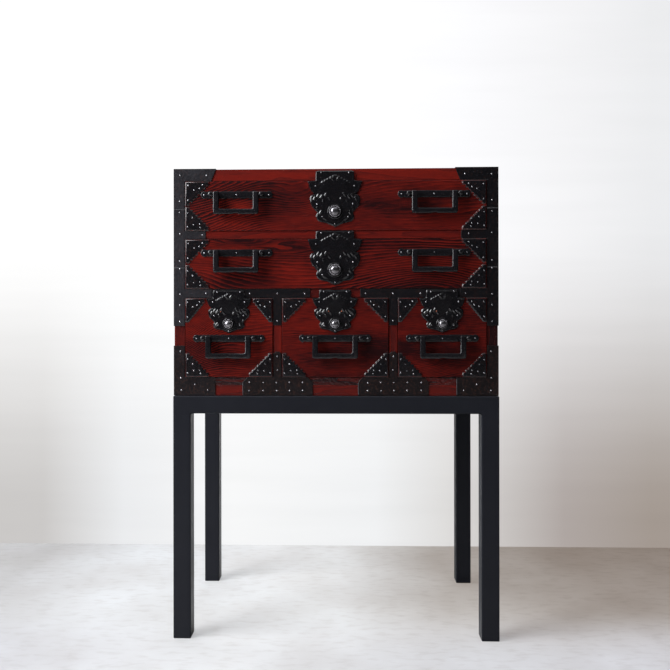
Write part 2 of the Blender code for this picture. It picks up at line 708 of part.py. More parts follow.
def drawer(name, x, floor_z, width, height, wide, crowded, keeper, tab_rise):
    """A front with corner irons, a tray rebated into it, its lock and its handles."""
    slide = bpy.data.objects.new(name, None)
    slide.location = (x, FACE, floor_z)
    PARTS.objects.link(slide)
    half = width / 2 - DRAWER_GAP
    low_z = floor_z + DRAWER_LIFT
    top_z = floor_z + height - DRAWER_GAP
    behind = FACE + FRONT_THICKNESS
    front = board(name + "_front", (x - half, FACE, low_z), (x + half, behind, top_z), LACQUER, slide)
    top_leg = CORNER_LEG
    if crowded:
        top_leg = half - CORNER_INSET - SMALL_LOCK_HALF_WIDTH - CORNER_TO_LOCK
    corners = ((low_z + CORNER_INSET, 1, CORNER_LEG), (top_z - CORNER_INSET, -1, top_leg))
    for right in (-1, 1):
        for edge_z, up, leg in corners:
            points = [(-right * u, up * v) for u, v in corner_outline(leg)]
            place = (x + right * (half - CORNER_INSET), FACE - IRON / 2 + IRON_BACK_OFF / 2, edge_z)
            iron = tool(name + "_corner_iron", outline_mesh(points, IRON + IRON_BACK_OFF), place, slide)
            iron.data.materials.append(BLACK_IRON)
            combine(front, iron, "UNION")

    outer = half - TRAY_INSET
    tray_front = behind - TRAY_REBATE
    tray_rear = BACK_FACE - TRAY_REAR_CLEARANCE
    tray_top = top_z - TRAY_DROP
    low = (x - outer, tray_front, low_z + GAP)
    tray = board(name + "_tray", low, (x + outer, tray_rear, tray_top), PALE_WOOD, slide)
    cavity = outer - TRAY_WALL
    cut_box(
        tray,
        name + "_cavity",
        (x - cavity, tray_front - CUT_PAST, low_z + GAP + TRAY_FLOOR),
        (x + cavity, tray_rear - TRAY_WALL, tray_top + CUT_PAST),
    )
    cut_box(
        tray,
        name + "_floor_end",
        (x - cavity, tray_front - CUT_PAST, low_z - CUT_PAST),
        (x + cavity, behind + GAP, tray_top + CUT_PAST),
    )
    for right in (-1, 1):
        edges = sorted((x + right * (cavity - GAP), x + right * (half + CUT_PAST)))
        cut_box(
            front,
            name + "_rebate",
            (edges[0], tray_front - GAP, low_z - CUT_PAST),
            (edges[1], behind + CUT_PAST, tray_top + GAP),
        )

    lock(name, x, top_z, wide, tab_rise, front, keeper, slide)
    if wide:
        for word, side in (("left", -1), ("right", 1)):
            handle_x = x + side * (half - WIDE_HANDLE_INSET)
            handle(f"{name}_{word}_handle", handle_x, top_z - WIDE_HANDLE_DROP, slide)
    else:
        handle(name + "_handle", x, top_z - SMALL_HANDLE_DROP, slide)


stand()
top_board, upper_shelf, lower_shelf = carcass()
carcass_irons()
WIDE = 2 * INNER_HALF
drawer("top_drawer", 0, UPPER_Z, WIDE, UPPER_OPENING, True, False, top_board, TOP_LOCK_TAB_RISE)
drawer("middle_drawer", 0, MIDDLE_Z, WIDE, UPPER_OPENING, True, False, upper_shelf, LOCK_TAB_RISE)
for word, place in (("left", -LOWER_X), ("right", LOWER_X)):
    name = f"lower_{word}_drawer"
    drawer(name, place, LOWER_Z, SIDE_OPENING, LOWER_OPENING, False, True, lower_shelf, LOCK_TAB_RISE)
name = "lower_middle_drawer"
drawer(name, 0, LOWER_Z, CENTRE_OPENING, LOWER_OPENING, False, False, lower_shelf, LOCK_TAB_RISE)
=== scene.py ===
"""A small red lacquered drawer chest with black iron fittings, on a black steel stand.

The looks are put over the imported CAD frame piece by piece, in the order the chest is put together.
"""

import bpy
import numpy as np
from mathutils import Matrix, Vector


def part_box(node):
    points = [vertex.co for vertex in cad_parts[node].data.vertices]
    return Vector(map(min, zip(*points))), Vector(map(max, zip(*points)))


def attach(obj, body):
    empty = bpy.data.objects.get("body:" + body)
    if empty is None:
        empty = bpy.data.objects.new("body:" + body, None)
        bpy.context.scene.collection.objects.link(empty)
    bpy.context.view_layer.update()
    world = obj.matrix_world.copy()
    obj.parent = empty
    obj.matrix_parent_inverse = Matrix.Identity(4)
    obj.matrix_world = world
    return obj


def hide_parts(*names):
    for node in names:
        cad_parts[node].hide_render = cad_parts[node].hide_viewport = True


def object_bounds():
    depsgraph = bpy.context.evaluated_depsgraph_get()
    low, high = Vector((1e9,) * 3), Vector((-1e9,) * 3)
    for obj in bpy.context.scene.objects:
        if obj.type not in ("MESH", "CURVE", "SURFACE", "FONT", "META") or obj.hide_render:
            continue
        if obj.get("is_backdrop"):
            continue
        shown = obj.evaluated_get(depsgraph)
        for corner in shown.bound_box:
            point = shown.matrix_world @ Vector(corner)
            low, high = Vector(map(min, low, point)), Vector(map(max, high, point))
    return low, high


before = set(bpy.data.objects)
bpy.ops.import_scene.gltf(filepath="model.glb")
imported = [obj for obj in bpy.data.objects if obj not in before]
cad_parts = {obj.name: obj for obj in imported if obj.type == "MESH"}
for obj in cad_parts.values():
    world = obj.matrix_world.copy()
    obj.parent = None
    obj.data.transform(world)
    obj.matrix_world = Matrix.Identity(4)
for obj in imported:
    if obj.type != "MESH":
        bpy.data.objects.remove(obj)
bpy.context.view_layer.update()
MM = 0.001

# Stand: a frame of square steel tube, welded at the corners and ground flush, so it has no joint lines.
# It is sprayed satin black, with a faint orange peel; the upper arrises are paler by a painted highlight.


class Wire:
    """One output of a node. Sums on it add Math nodes to its tree, and node() adds any other kind."""

    def __init__(self, tree, output=None):
        self.tree = tree
        self.output = output

    def node(self, kind, settings, sockets, out=0):
        """Add a node: its settings first, a ramp's stops among them, then its sockets' values or links."""
        made = self.tree.nodes.new(kind)
        for key, value in settings.items():
            if key == "stops":
                ramp = made.color_ramp.elements
                ramp[0].position = value[0][0]
                ramp[1].position = value[-1][0]
                for place, _ in value[1:-1]:
                    ramp.new(place)
                for stop, (_, colour) in zip(ramp, value):
                    stop.color = colour
            else:
                setattr(made, key, value)
        for key, value in sockets.items():
            if isinstance(value, Wire):
                self.tree.links.new(value.output, made.inputs[key])
            else:
                made.inputs[key].default_value = value
        return Wire(self.tree, made.outputs[out])

    def maths(self, operation, first, second=0.0):
        return self.node("ShaderNodeMath", {"operation": operation}, {0: first, 1: second})

    def __add__(self, other):
        return self.maths("ADD", self, other)

    __radd__ = __add__

    def __sub__(self, other):
        return self.maths("SUBTRACT", self, other)

    def __rsub__(self, other):
        return self.maths("SUBTRACT", other, self)

    def __mul__(self, other):
        return self.maths("MULTIPLY", self, other)

    __rmul__ = __mul__

    def __truediv__(self, other):
        return self.maths("DIVIDE", self, other)

    def __pow__(self, other):
        return self.maths("POWER", self, other)

    def __gt__(self, other):
        return self.maths("GREATER_THAN", self, other)

    def __lt__(self, other):
        return self.maths("LESS_THAN", self, other)


def colour_between(share, low, high):
    """A Mix node from the colour low to the colour high, by share."""
    return share.node("ShaderNodeMix", {"data_type": "RGBA"}, {0: share, 6: low, 7: high}, 2)


def noise(place, scale, detail=2.0):
    """Cloudy noise about 0.5, with scale clouds to the metre and finer ones added detail times."""
    return place.node("ShaderNodeTexNoise", {}, {"Vector": place, "Scale": scale, "Detail": detail})


def axis_of(place, axis):
    """One coordinate of a place or of a normal."""
    return place.node("ShaderNodeSeparateXYZ", {}, {0: place}, axis)


def plain_normal(place):
    """The surface's own normal."""
    return place.node("ShaderNodeNewGeometry", {}, {}, "Normal")


def surface_finish(name, constants, pattern):
    """A material. Constants go on the shader's own sockets, pattern(place) gives the ones that vary."""
    made = bpy.data.materials.new(name)
    made.use_nodes = True
    tree = made.node_tree
    shader = tree.nodes["Principled BSDF"]
    for key, value in constants.items():
        shader.inputs[key].default_value = value
    place = Wire(tree).node("ShaderNodeTexCoord", {}, {}, "Object")
    for key, wire in pattern(place).items():
        tree.links.new(wire.output, shader.inputs[key])
    return made


def soft_arris(place, radius):
    """The normal of the surface with its sharp edges rounded, and how far that turns it, 0 on a flat."""
    rounded = place.node("ShaderNodeBevel", {"samples": 6}, {"Radius": radius})
    sockets = {0: rounded, 1: plain_normal(place)}
    along = place.node("ShaderNodeVectorMath", {"operation": "DOT_PRODUCT"}, sockets, "Value")
    return rounded, 1 - along


def bumped(normal, height, strength, distance):
    """The normal tilted as a relief of the given height, times distance, would tilt it."""
    sockets = {"Strength": strength, "Distance": distance, "Height": height, "Normal": normal}
    return height.node("ShaderNodeBump", {}, sockets)


def dress(node, finish):
    """Give a CAD node its finish."""
    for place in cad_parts[node].material_slots:
        place.material = finish


def stand_paint_pattern(place):
    """Cloudy black, with a painted highlight where a rounded arris turns upward, and a fine orange peel."""
    rounded, turned = soft_arris(place, 2.6 * MM)
    upward = axis_of(rounded, "Z")
    cloud = noise(place, 14.0, 3.0)
    peel = noise(place, 700.0)
    dust = noise(place, 60.0, 4.0)
    colour = colour_between(cloud, (0.014, 0.0148, 0.0195, 1), (0.0185, 0.0195, 0.0255, 1))
    # Painted highlight: arrises that face up are lightened toward grey, as light from above would light them.
    colour = colour_between(turned * upward * 2.5, colour, (0.16, 0.17, 0.19, 1))
    return {
        "Base Color": colour,
        "Roughness": 0.3 + dust * 0.1,
        "Normal": bumped(rounded, peel, 0.12, 0.2 * MM),
    }


stand_paint = surface_finish("stand_paint", {"Specular IOR Level": 0.12}, stand_paint_pattern)
dress("stand_frame", stand_paint)

# Leg glides: moulded black plastic plugs pushed into the open tube ends, domed a little underneath.
# They close the bores from below and end just inside the tube's ends.


def ring_walls(count, rings):
    """Quads between neighbouring rings of count points each, for all rings, as one index array."""
    step = np.arange(count)
    onward = np.roll(step, -1)
    first = np.stack([step, onward, onward + count, step + count], axis=1)
    return (first[None] + count * np.arange(rings - 1)[:, None, None]).reshape(-1, 4)


def ring_shell(flat, height):
    """A closed shell: flat rings (rings, count, 2), each at its height, the walls between and two caps."""
    rings, count = flat.shape[:2]
    lift = np.broadcast_to(height[:, None, None], (rings, count, 1))
    caps = [np.arange(count)[::-1], np.arange(count) + count * (rings - 1)]
    return np.concatenate([flat, lift], axis=2).reshape(-1, 3), ring_walls(count, rings), caps


def edge_shell(outline, levels):
    """A closed plate: an edge profile carried round an outline.

    outline is (n, 2), anticlockwise from the front. Each (inset, height) of levels, from the back to the
    face, is a ring: the outline moved in by inset along its mitres and lifted by height. Two caps close it.
    """
    before = outline - np.roll(outline, 1, axis=0)
    after = np.roll(outline, -1, axis=0) - outline
    before = before / np.linalg.norm(before, axis=1, keepdims=True)
    after = after / np.linalg.norm(after, axis=1, keepdims=True)
    inward = np.stack([-before[:, 1] - after[:, 1], before[:, 0] + after[:, 0]], axis=1)
    mitre = inward / (1 + (before * after).sum(axis=1, keepdims=True))
    inset, height = np.array(levels).T
    return ring_shell(outline[None] + inset[:, None, None] * mitre[None], height)


def rounded_levels(depth, radius, steps=4, both=False):
    """Levels of a plate of that depth whose face, or both faces, have a quarter-round edge."""
    bend = np.linspace(0, np.pi / 2, steps + 1)
    face = np.stack([radius * (1 - np.cos(bend)), depth - radius + radius * np.sin(bend)], axis=1)
    if both:
        back = np.stack([face[::-1, 0], depth - face[::-1, 1]], axis=1)
    else:
        back = np.zeros((1, 2))
    return np.concatenate([back, face])


def rounded_rectangle(low, high, radius, steps=4):
    """Four straight sides joined by quarter circles, anticlockwise from the lower right."""
    low, high = np.array(low), np.array(high)
    bend = np.linspace(0, np.pi / 2, steps + 1)
    centres = np.array([[high[0], low[1]], [high[0], high[1]], [low[0], high[1]], [low[0], low[1]]])
    centres = centres + radius * np.array([[-1, 1], [-1, -1], [1, -1], [1, 1]])
    start = np.pi / 2 * np.arange(-1, 3)
    angle = start[:, None] + bend[None]
    arcs = centres[:, None] + radius * np.stack([np.cos(angle), np.sin(angle)], axis=2)
    return arcs.reshape(-1, 2)


def moved(shell, axes, origin):
    """A shell with its (across, up, out) carried to the three given directions and set at origin."""
    points, quads, caps = shell
    return points @ np.array(axes, float) + np.array(origin, float), quads, caps


DOWNWARD = [(1, 0, 0), (0, -1, 0), (0, 0, -1)]
SHARP_ANGLE = np.radians(38)


def piece(name, shells, finish, body, stands_for=()):
    """One object from closed shells, with flat caps, smooth walls and sharp edges over SHARP_ANGLE."""
    points, faces, smooth = [], [], []
    base = 0
    for shell_points, quads, caps in shells:
        points.append(shell_points)
        faces += (quads + base).tolist()
        faces += [(cap + base).tolist() for cap in caps]
        smooth += [True] * len(quads) + [False] * len(caps)
        base += len(shell_points)
    mesh = bpy.data.meshes.new(name)
    mesh.from_pydata(np.concatenate(points).tolist(), [], faces)
    mesh.polygons.foreach_set("use_smooth", smooth)
    mesh.set_sharp_from_angle(angle=SHARP_ANGLE)
    mesh.materials.append(finish)
    made = bpy.data.objects.new(name, mesh)
    bpy.context.scene.collection.objects.link(made)
    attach(made, body)
    if stands_for:
        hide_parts(*stands_for)
    return made


def glide_pattern(place):
    """Black with scuffs from noise, and a fine moulded grain."""
    grain = noise(place, 900.0)
    scuff = noise(place, 120.0, 4.0)
    return {
        "Base Color": colour_between(scuff, (0.012, 0.012, 0.012, 1), (0.03, 0.03, 0.03, 1)),
        "Roughness": 0.5 + scuff * 0.25,
        "Normal": bumped(plain_normal(place), grain, 0.2, 0.2 * MM),
    }


glide_plastic = surface_finish("glide_plastic", {}, glide_pattern)
stand_low, stand_high = (np.array(corner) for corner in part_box("stand_frame"))
tube = 33 * MM
bore = 26.6 * MM
glide_depth = 12 * MM
glide_round = 2.5 * MM
glide_corner = 2 * MM
glide_dome = (9 * MM, glide_depth + 0.3 * MM)
glide_lift = 0.4 * MM
glide_face = np.concatenate([rounded_levels(glide_depth, glide_round), [glide_dome]])
glide_outline = rounded_rectangle((-bore / 2, -bore / 2), (bore / 2, bore / 2), glide_corner)
glides = []
for x in (stand_low[0] + tube / 2, stand_high[0] - tube / 2):
    for y in (stand_low[1] + tube / 2, stand_high[1] - tube / 2):
        foot = (x, y, stand_low[2] + glide_depth + glide_lift)
        glides.append(moved(edge_shell(glide_outline, glide_face), DOWNWARD, foot))
piece("leg_glides", glides, glide_plastic, "chest")

# Weld fillets: the runs of weld under the rails, inside the corners of the frame. They are ground to a
# hollow quarter round and sprayed with the tube, so that rail and leg flow into each other.
weld = 4 * MM
weld_short = 0.5 * MM
bend = np.radians(np.linspace(270, 180, 9))
weld_outline = np.concatenate([[(0, 0)], weld + weld * np.stack([np.cos(bend), np.sin(bend)], axis=1)])
weld_levels = [(0, weld_short), (0, tube - weld_short)]
under_rail = stand_high[2] - tube
welds = []
for side in (-1, 1):
    for end in (-1, 1):
        outer = np.where(np.array([side, end]) < 0, stand_low[:2], stand_high[:2])
        inner = outer - tube * np.array([side, end])
        low, high = np.minimum(outer, inner), np.maximum(outer, inner)
        along_front = [(-side, 0, 0), (0, 0, -1), (0, -side, 0)]
        start = (inner[0], high[1] if side > 0 else low[1], under_rail)
        welds.append(moved(edge_shell(weld_outline, weld_levels), along_front, start))
        along_side = [(0, -end, 0), (0, 0, -1), (end, 0, 0)]
        start = (low[0] if end > 0 else high[0], inner[1], under_rail)
        welds.append(moved(edge_shell(weld_outline, weld_levels), along_side, start))
piece("weld_fillets", welds, stand_paint, "chest")

# Carcass: boards of a ring-porous hardwood, housed in each other, stained red and finished with many
# coats of clear lacquer outside. The inside and the back are left bare.


def grown_wood(place, heart, tilt, stretch, spacing):
    """Growth rings about a long axis through heart, as (late wood 0 to 1, fibre streaks, broad tone).

    A point's distance from the axis, counted in ring spacings and bent by noise, gives saw teeth that
    rise slowly and drop at once, as early wood darkens into late wood. stretch sets the grain's run.
    """
    settings = {"vector_type": "TEXTURE"}
    sockets = {"Vector": place, "Location": heart, "Rotation": tilt, "Scale": stretch}
    grain = place.node("ShaderNodeMapping", settings, sockets)
    reach = place.node("ShaderNodeVectorMath", {"operation": "LENGTH"}, {0: grain}, "Value")
    bend = noise(grain, 16.0, 3.0)
    shiver = noise(grain, 90.0, 2.0)
    ring = (reach + bend * 0.075 + shiver * 0.006) / spacing
    tooth = place.maths("FRACT", ring)
    fibre = noise(grain, 700.0, 3.0)
    tone = noise(grain, 9.0, 2.0)
    return tooth ** 2.2, fibre, tone


BRIGHT_RED = (0.34, 0.019, 0.009, 1)
DEEP_RED = (0.020, 0.0048, 0.0055, 1)
BARE_EARLY = (0.36, 0.235, 0.13, 1)
BARE_LATE = (0.2, 0.115, 0.055, 1)


def lacquered(place, glow, rings):
    """Red under clear lacquer, from nearly black to bright by glow; it sinks a little into the pores."""
    late, fibre, _ = rings
    rounded, _ = soft_arris(place, 1.6 * MM)
    colour = colour_between(glow, DEEP_RED, BRIGHT_RED)
    haze = noise(place, 30.0, 4.0)
    return colour, 0.16 + haze * 0.1 + late * 0.05, bumped(rounded, late + fibre * 0.5, 0.06, 0.3 * MM)


def chipped(place, normal, depth):
    """Gouged and splintered edge of a board, as a strong bump of the given depth."""
    return bumped(normal, noise(place, 190.0, 4.0), 0.9, depth)


def bare(place, rings):
    """Unfinished wood gone brown: the same rings, paler, dry and a little fuzzy."""
    late, fibre, tone = rings
    rounded, _ = soft_arris(place, 0.8 * MM)
    colour = colour_between(late * 0.5 + fibre * 0.35, BARE_EARLY, BARE_LATE)
    colour = colour_between(tone * 0.5, colour, BARE_LATE)
    return colour, 0.62 + fibre * 0.15, bumped(rounded, late + fibre, 0.15, 0.3 * MM)


chest_half = 303 * MM
chest_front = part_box("top_board")[0][1]
chest_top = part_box("top_board")[1][2]
skin = 3 * MM
lacquer_reach = 18 * MM
bare_back = 174.5 * MM


def carcass_finish(name, heart, tilt, stretch, spacing, light, chips=0.0):
    """Lacquer on what shows from outside, bare wood on what faces into the chest or to the back."""

    def pattern(place):
        rings = grown_wood(place, heart, tilt, stretch, spacing)
        late, fibre, tone = rings
        glow = tone * 0.3 + fibre * 0.35 - late * 0.22 + (light - 0.25)
        red, red_rough, red_normal = lacquered(place, glow, rings)
        if chips:
            red_normal = chipped(place, red_normal, chips)
        dry, dry_rough, dry_normal = bare(place, rings)
        x, y, z = (axis_of(place, axis) for axis in "XYZ")
        within = place.maths("ABSOLUTE", x) < chest_half - skin
        behind = y > chest_front + lacquer_reach
        under = z < chest_top - skin
        at_back = y > bare_back
        inside = place.maths("MAXIMUM", within * behind * under, at_back)
        rough = red_rough + (dry_rough - red_rough) * inside
        sockets = {0: inside, 4: red_normal, 5: dry_normal}
        normal = place.node("ShaderNodeMix", {"data_type": "VECTOR"}, sockets, 1)
        return {"Base Color": colour_between(inside, red, dry), "Roughness": rough, "Normal": normal}

    return surface_finish(name, {"Specular IOR Level": 0.42}, pattern)


LONG = (9, 1, 1)
DEEP = (1, 9, 1)
TALL = (1, 1, 9)
# Where the heart of the tree lay, the tilt and run of the grain, the ring spacing, the lightness, and
# for a board with a splintered edge the depth of its chips
carcass_boards = {
    "top_board": ((0.3, 0.05, 0.80), (0, 0.012, 0), LONG, 7 * MM, 0.44),
    "bottom_board": ((-0.2, 0.0, 0.40), (0, -0.01, 0), LONG, 8 * MM, 0.05, 2.5 * MM),
    "upper_shelf": ((-0.4, 0.02, 0.70), (0, 0.02, 0), LONG, 6 * MM, 0.33),
    "lower_shelf": ((0.5, 0.02, 0.60), (0, -0.015, 0), LONG, 6 * MM, 0.26),
    "plinth_front": ((0.2, -0.1, 0.40), (0, 0.01, 0), LONG, 7 * MM, 0.29),
    "plinth_left": ((-0.3, 0.3, 0.42), (0, 0, 0), DEEP, 7 * MM, 0.34),
    "plinth_right": ((0.3, -0.3, 0.42), (0, 0, 0), DEEP, 7 * MM, 0.34),
    "left_side": ((-0.33, -0.05, 0.5), (0.02, 0, 0), TALL, 9 * MM, 0.22),
    "right_side": ((0.34, 0.04, 0.9), (-0.02, 0, 0), TALL, 9 * MM, 0.05),
    "left_partition": ((-0.06, 0.05, 0.4), (0, 0, 0), TALL, 8 * MM, 0.42),
    "right_partition": ((0.16, 0.05, 0.4), (0, 0, 0), TALL, 8 * MM, 0.31),
    "back_panel": ((0.1, 0.19, 0.6), (0, 0.03, 0), LONG, 10 * MM, 0.3),
}
for node, grain in carcass_boards.items():
    dress(node, carcass_finish(node + "_wood", *grain))

# Carcass irons: straps, T straps, corners and base plates of sheet iron, cut with shears and filed,
# blackened hot and oiled. They are bent over the corners and held by small domed nails.


def black_iron_pattern(place, tint, rust, hammer, gloss, wear, arris):
    """Scale of the given tint, mottled, with rust in specks, beaten marks and a little wear on edges."""
    rounded, turned = soft_arris(place, arris)
    patch = noise(place, 45.0, 4.0) * 0.6 + noise(place, 330.0, 3.0) * 0.8 - 0.2
    grain = noise(place, 420.0, 3.0)
    dents = place.node("ShaderNodeTexVoronoi", {"feature": "SMOOTH_F1"}, {"Vector": place, "Scale": 210.0})
    red, green, blue = tint
    dark = (0.4 * red, 0.4 * green, 0.4 * blue, 1)
    colour = colour_between(patch, dark, (1.6 * red, 1.6 * green, 1.6 * blue, 1))
    specks = place.maths("MAXIMUM", noise(place, 240.0, 4.0) * 3 - 1.5, 0.0)
    colour = colour_between(specks * rust, colour, (0.075, 0.030, 0.020, 1))
    colour = colour_between(turned * wear, colour, (0.06, 0.058, 0.064, 1))
    return {
        "Base Color": colour,
        "Roughness": gloss + patch * 0.18,
        "Normal": bumped(rounded, dents + grain * 0.4, hammer, 0.4 * MM),
    }


def iron_finish(name, tint, rust, hammer, gloss, shine, wear=0.3, metal=0.0, arris=0.9 * MM):
    """Blackened iron: its tint, the share of rust, the hammer marks' depth, roughness and shine."""

    def pattern(place):
        return black_iron_pattern(place, tint, rust, hammer, gloss, wear, arris)

    return surface_finish(name, {"Specular IOR Level": shine, "Metallic": metal}, pattern)


# Painted light: the left post strap and the left foot corner get paler copies of the irons that the
# right-hand pieces have, as if lit by the window on the left.
lit_strap_iron = iron_finish("lit_strap_iron", (0.0158, 0.015, 0.0192), 0.3, 0.6, 0.27, 0.45)
dark_iron = iron_finish("dark_iron", (0.0055, 0.0051, 0.0068), 0.25, 0.55, 0.25, 0.33)
base_iron = iron_finish("base_iron", (0.0072, 0.0046, 0.0055), 0.6, 0.5, 0.26, 0.36, arris=1.4 * MM)
lit_foot_iron = iron_finish("lit_foot_iron", (0.0085, 0.0061, 0.0077), 0.6, 0.5, 0.26, 0.36, arris=1.4 * MM)
strap_irons = {
    "left_post_strap": lit_strap_iron,
    "right_post_strap": dark_iron,
    "left_t_strap": dark_iron,
    "right_t_strap": dark_iron,
    "left_foot_corner": lit_foot_iron,
    "right_foot_corner": base_iron,
    "left_base_strap": base_iron,
    "right_base_strap": base_iron,
}
for node, finish in strap_irons.items():
    dress(node, finish)

# Strap lips: edges of the sheet iron that were filed round, in an iron far paler than the straps as a painted
# highlight. They are the upper ends of the two lower plates of each post strap, under the seams, and the left
# edges of three base plates.
FRONTWARD = [(1, 0, 0), (0, 0, 1), (0, -1, 0)]
iron_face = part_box("left_base_strap")[0][1]
lip = 1.8 * MM
lip_corner = 0.85 * MM
lip_levels = rounded_levels(1.2 * MM, 0.8 * MM)
lip_y = iron_face + 0.5 * MM
post_lip = 21 * MM
seam_drops = (74.3 * MM, 184.3 * MM)
base_lips = {"left_base_strap": 24 * MM, "right_base_strap": 24 * MM, "right_foot_corner": 30 * MM}
lip_shells = []
for drop in seam_drops:
    for low_x in (-chest_half - 1 * MM, chest_half - 20 * MM):
        bar = rounded_rectangle((0, -lip), (post_lip, 0), lip_corner)
        lip_shells.append(moved(edge_shell(bar, lip_levels), FRONTWARD, (low_x, lip_y, chest_top - drop)))
for node, tall in base_lips.items():
    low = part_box(node)[0]
    bar = rounded_rectangle((0, 0), (lip, tall), lip_corner)
    lip_shells.append(moved(edge_shell(bar, lip_levels), FRONTWARD, (low[0], lip_y, low[2] + 1 * MM)))
# Painted highlight: the lips' iron is many times paler than the straps', as edges that catch the light.
lip_highlight_iron = iron_finish("lip_highlight_iron", (0.06, 0.058, 0.064), 0.1, 0.1, 0.24, 0.6)
piece("strap_lips", lip_shells, lip_highlight_iron, "chest")

# Carcass nails: small domed heads of iron, rubbed bright, with grime about them. They are driven by hand
# in rows along the straps, and nearly flat ones along the parts that wrap round the sides.


def nail_pattern(place):
    """Bare iron from grimy to bright, by noise that differs from nail to nail."""
    rub = noise(place, 260.0, 3.0)
    grime = noise(place, 90.0, 2.0)
    return {
        "Base Color": colour_between(grime * 2 - 0.5, (0.10, 0.098, 0.104, 1), (0.56, 0.55, 0.58, 1)),
        "Roughness": 0.16 + rub * 0.14,
        "Normal": bumped(plain_normal(place), rub, 0.1, 0.2 * MM),
    }


nail_iron = surface_finish("nail_iron", {"Metallic": 1.0}, nail_pattern)
nail_radius = 1.75 * MM
nail_rise = 1.15 * MM
nail_sink = 0.3 * MM
nail_bend = np.linspace(0, np.pi / 2, 4)[:-1]
nail_profile = np.concatenate(
    [
        [(nail_radius, -nail_sink)],
        np.stack([nail_radius * np.cos(nail_bend), nail_rise * np.sin(nail_bend)], axis=1),
        [(0.18 * nail_radius, nail_rise)],
    ]
)
chance = np.random.default_rng(7)


def turned_shell(profile, count):
    """A closed turned form: (radius, height) points, from the back to the face, carried round a circle."""
    radius, height = np.array(profile).T
    angle = 2 * np.pi * np.arange(count) / count
    round_points = np.stack([np.cos(angle), np.sin(angle)], axis=1)
    return ring_shell(radius[:, None, None] * round_points[None], height)


def repeated(copies, quads, caps):
    """One shell of many copies of a form: their points (copies, points, 3), and its walls and caps."""
    start = copies.shape[1] * np.arange(len(copies))
    every = (quads[None] + start[:, None, None]).reshape(-1, 4)
    return copies.reshape(-1, 3), every, [cap + base for base in start for cap in caps]


def nail_heads(places, axes, size=1.0):
    """One shell set of nail heads at all the places, each a little larger or smaller than the next."""
    points, quads, caps = turned_shell(nail_profile, 9)
    grow = size * chance.uniform(0.9, 1.1, len(places))
    heads = (points[None] * grow[:, None, None]) @ np.array(axes, float) + np.array(places)[:, None]
    return repeated(heads, quads, caps)


# Distances in from the chest's outer edge and heights, in millimetres
post_nails = [
    (11, 871), (61, 871), (10.5, 822), (10.5, 801), (10.5, 761), (54, 759), (10.5, 710), (10.5, 695),
    (10.5, 647), (60, 648), (10.5, 627), (10.5, 596),
]
t_nails = [(143, 648), (194.5, 648), (246, 648), (194.5, 597)]
foot_nails = [(12, 540), (12, 490), (39, 478), (13, 467), (63.5, 466.5)]
base_nails = [(u, z) for z in (481, 466) for u in (142, 168, 193, 217, 242)] + [(194.5, 505), (194.5, 530)]
front_nails = np.array(post_nails + t_nails + foot_nails + base_nails) * MM
both_sides = np.concatenate([front_nails - (chest_half, 0), front_nails * (-1, 1) + (chest_half, 0)])
nail_stray = 0.5 * MM
both_sides = both_sides + chance.uniform(-nail_stray, nail_stray, both_sides.shape)
front_places = np.stack([both_sides[:, 0], np.full(len(both_sides), iron_face), both_sides[:, 1]], axis=1)
shells = [nail_heads(front_places, FRONTWARD)]
LEFTWARD = [(0, -1, 0), (0, 0, 1), (-1, 0, 0)]
RIGHTWARD = [(0, 1, 0), (0, 0, 1), (1, 0, 0)]
wrap_heights = np.array([868, 815, 760, 705, 648, 598, 540, 505, 468]) * MM
wrap_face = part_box("right_post_strap")[1][0]
wrap_depth = 17 * MM
wrap_flatness = 0.3
for axes, face in ((LEFTWARD, -wrap_face), (RIGHTWARD, wrap_face)):
    rows = [(face, chest_front + wrap_depth, height) for height in wrap_heights]
    flat_axes = np.array(axes) * [[1], [1], [wrap_flatness]]
    shells.append(nail_heads(rows, flat_axes))
piece("carcass_nails", shells, nail_iron, "chest")

# Drawer fronts: one board each, picked for its figure, stained and lacquered like the carcass and let
# 2 mm proud of it. The trays behind are thin bare boards, rebated into the fronts.
wide_drawers = ("top_drawer", "middle_drawer")
drawers = wide_drawers + ("lower_left_drawer", "lower_middle_drawer", "lower_right_drawer")
front_thick = 22 * MM
lacquered_edge = 14 * MM
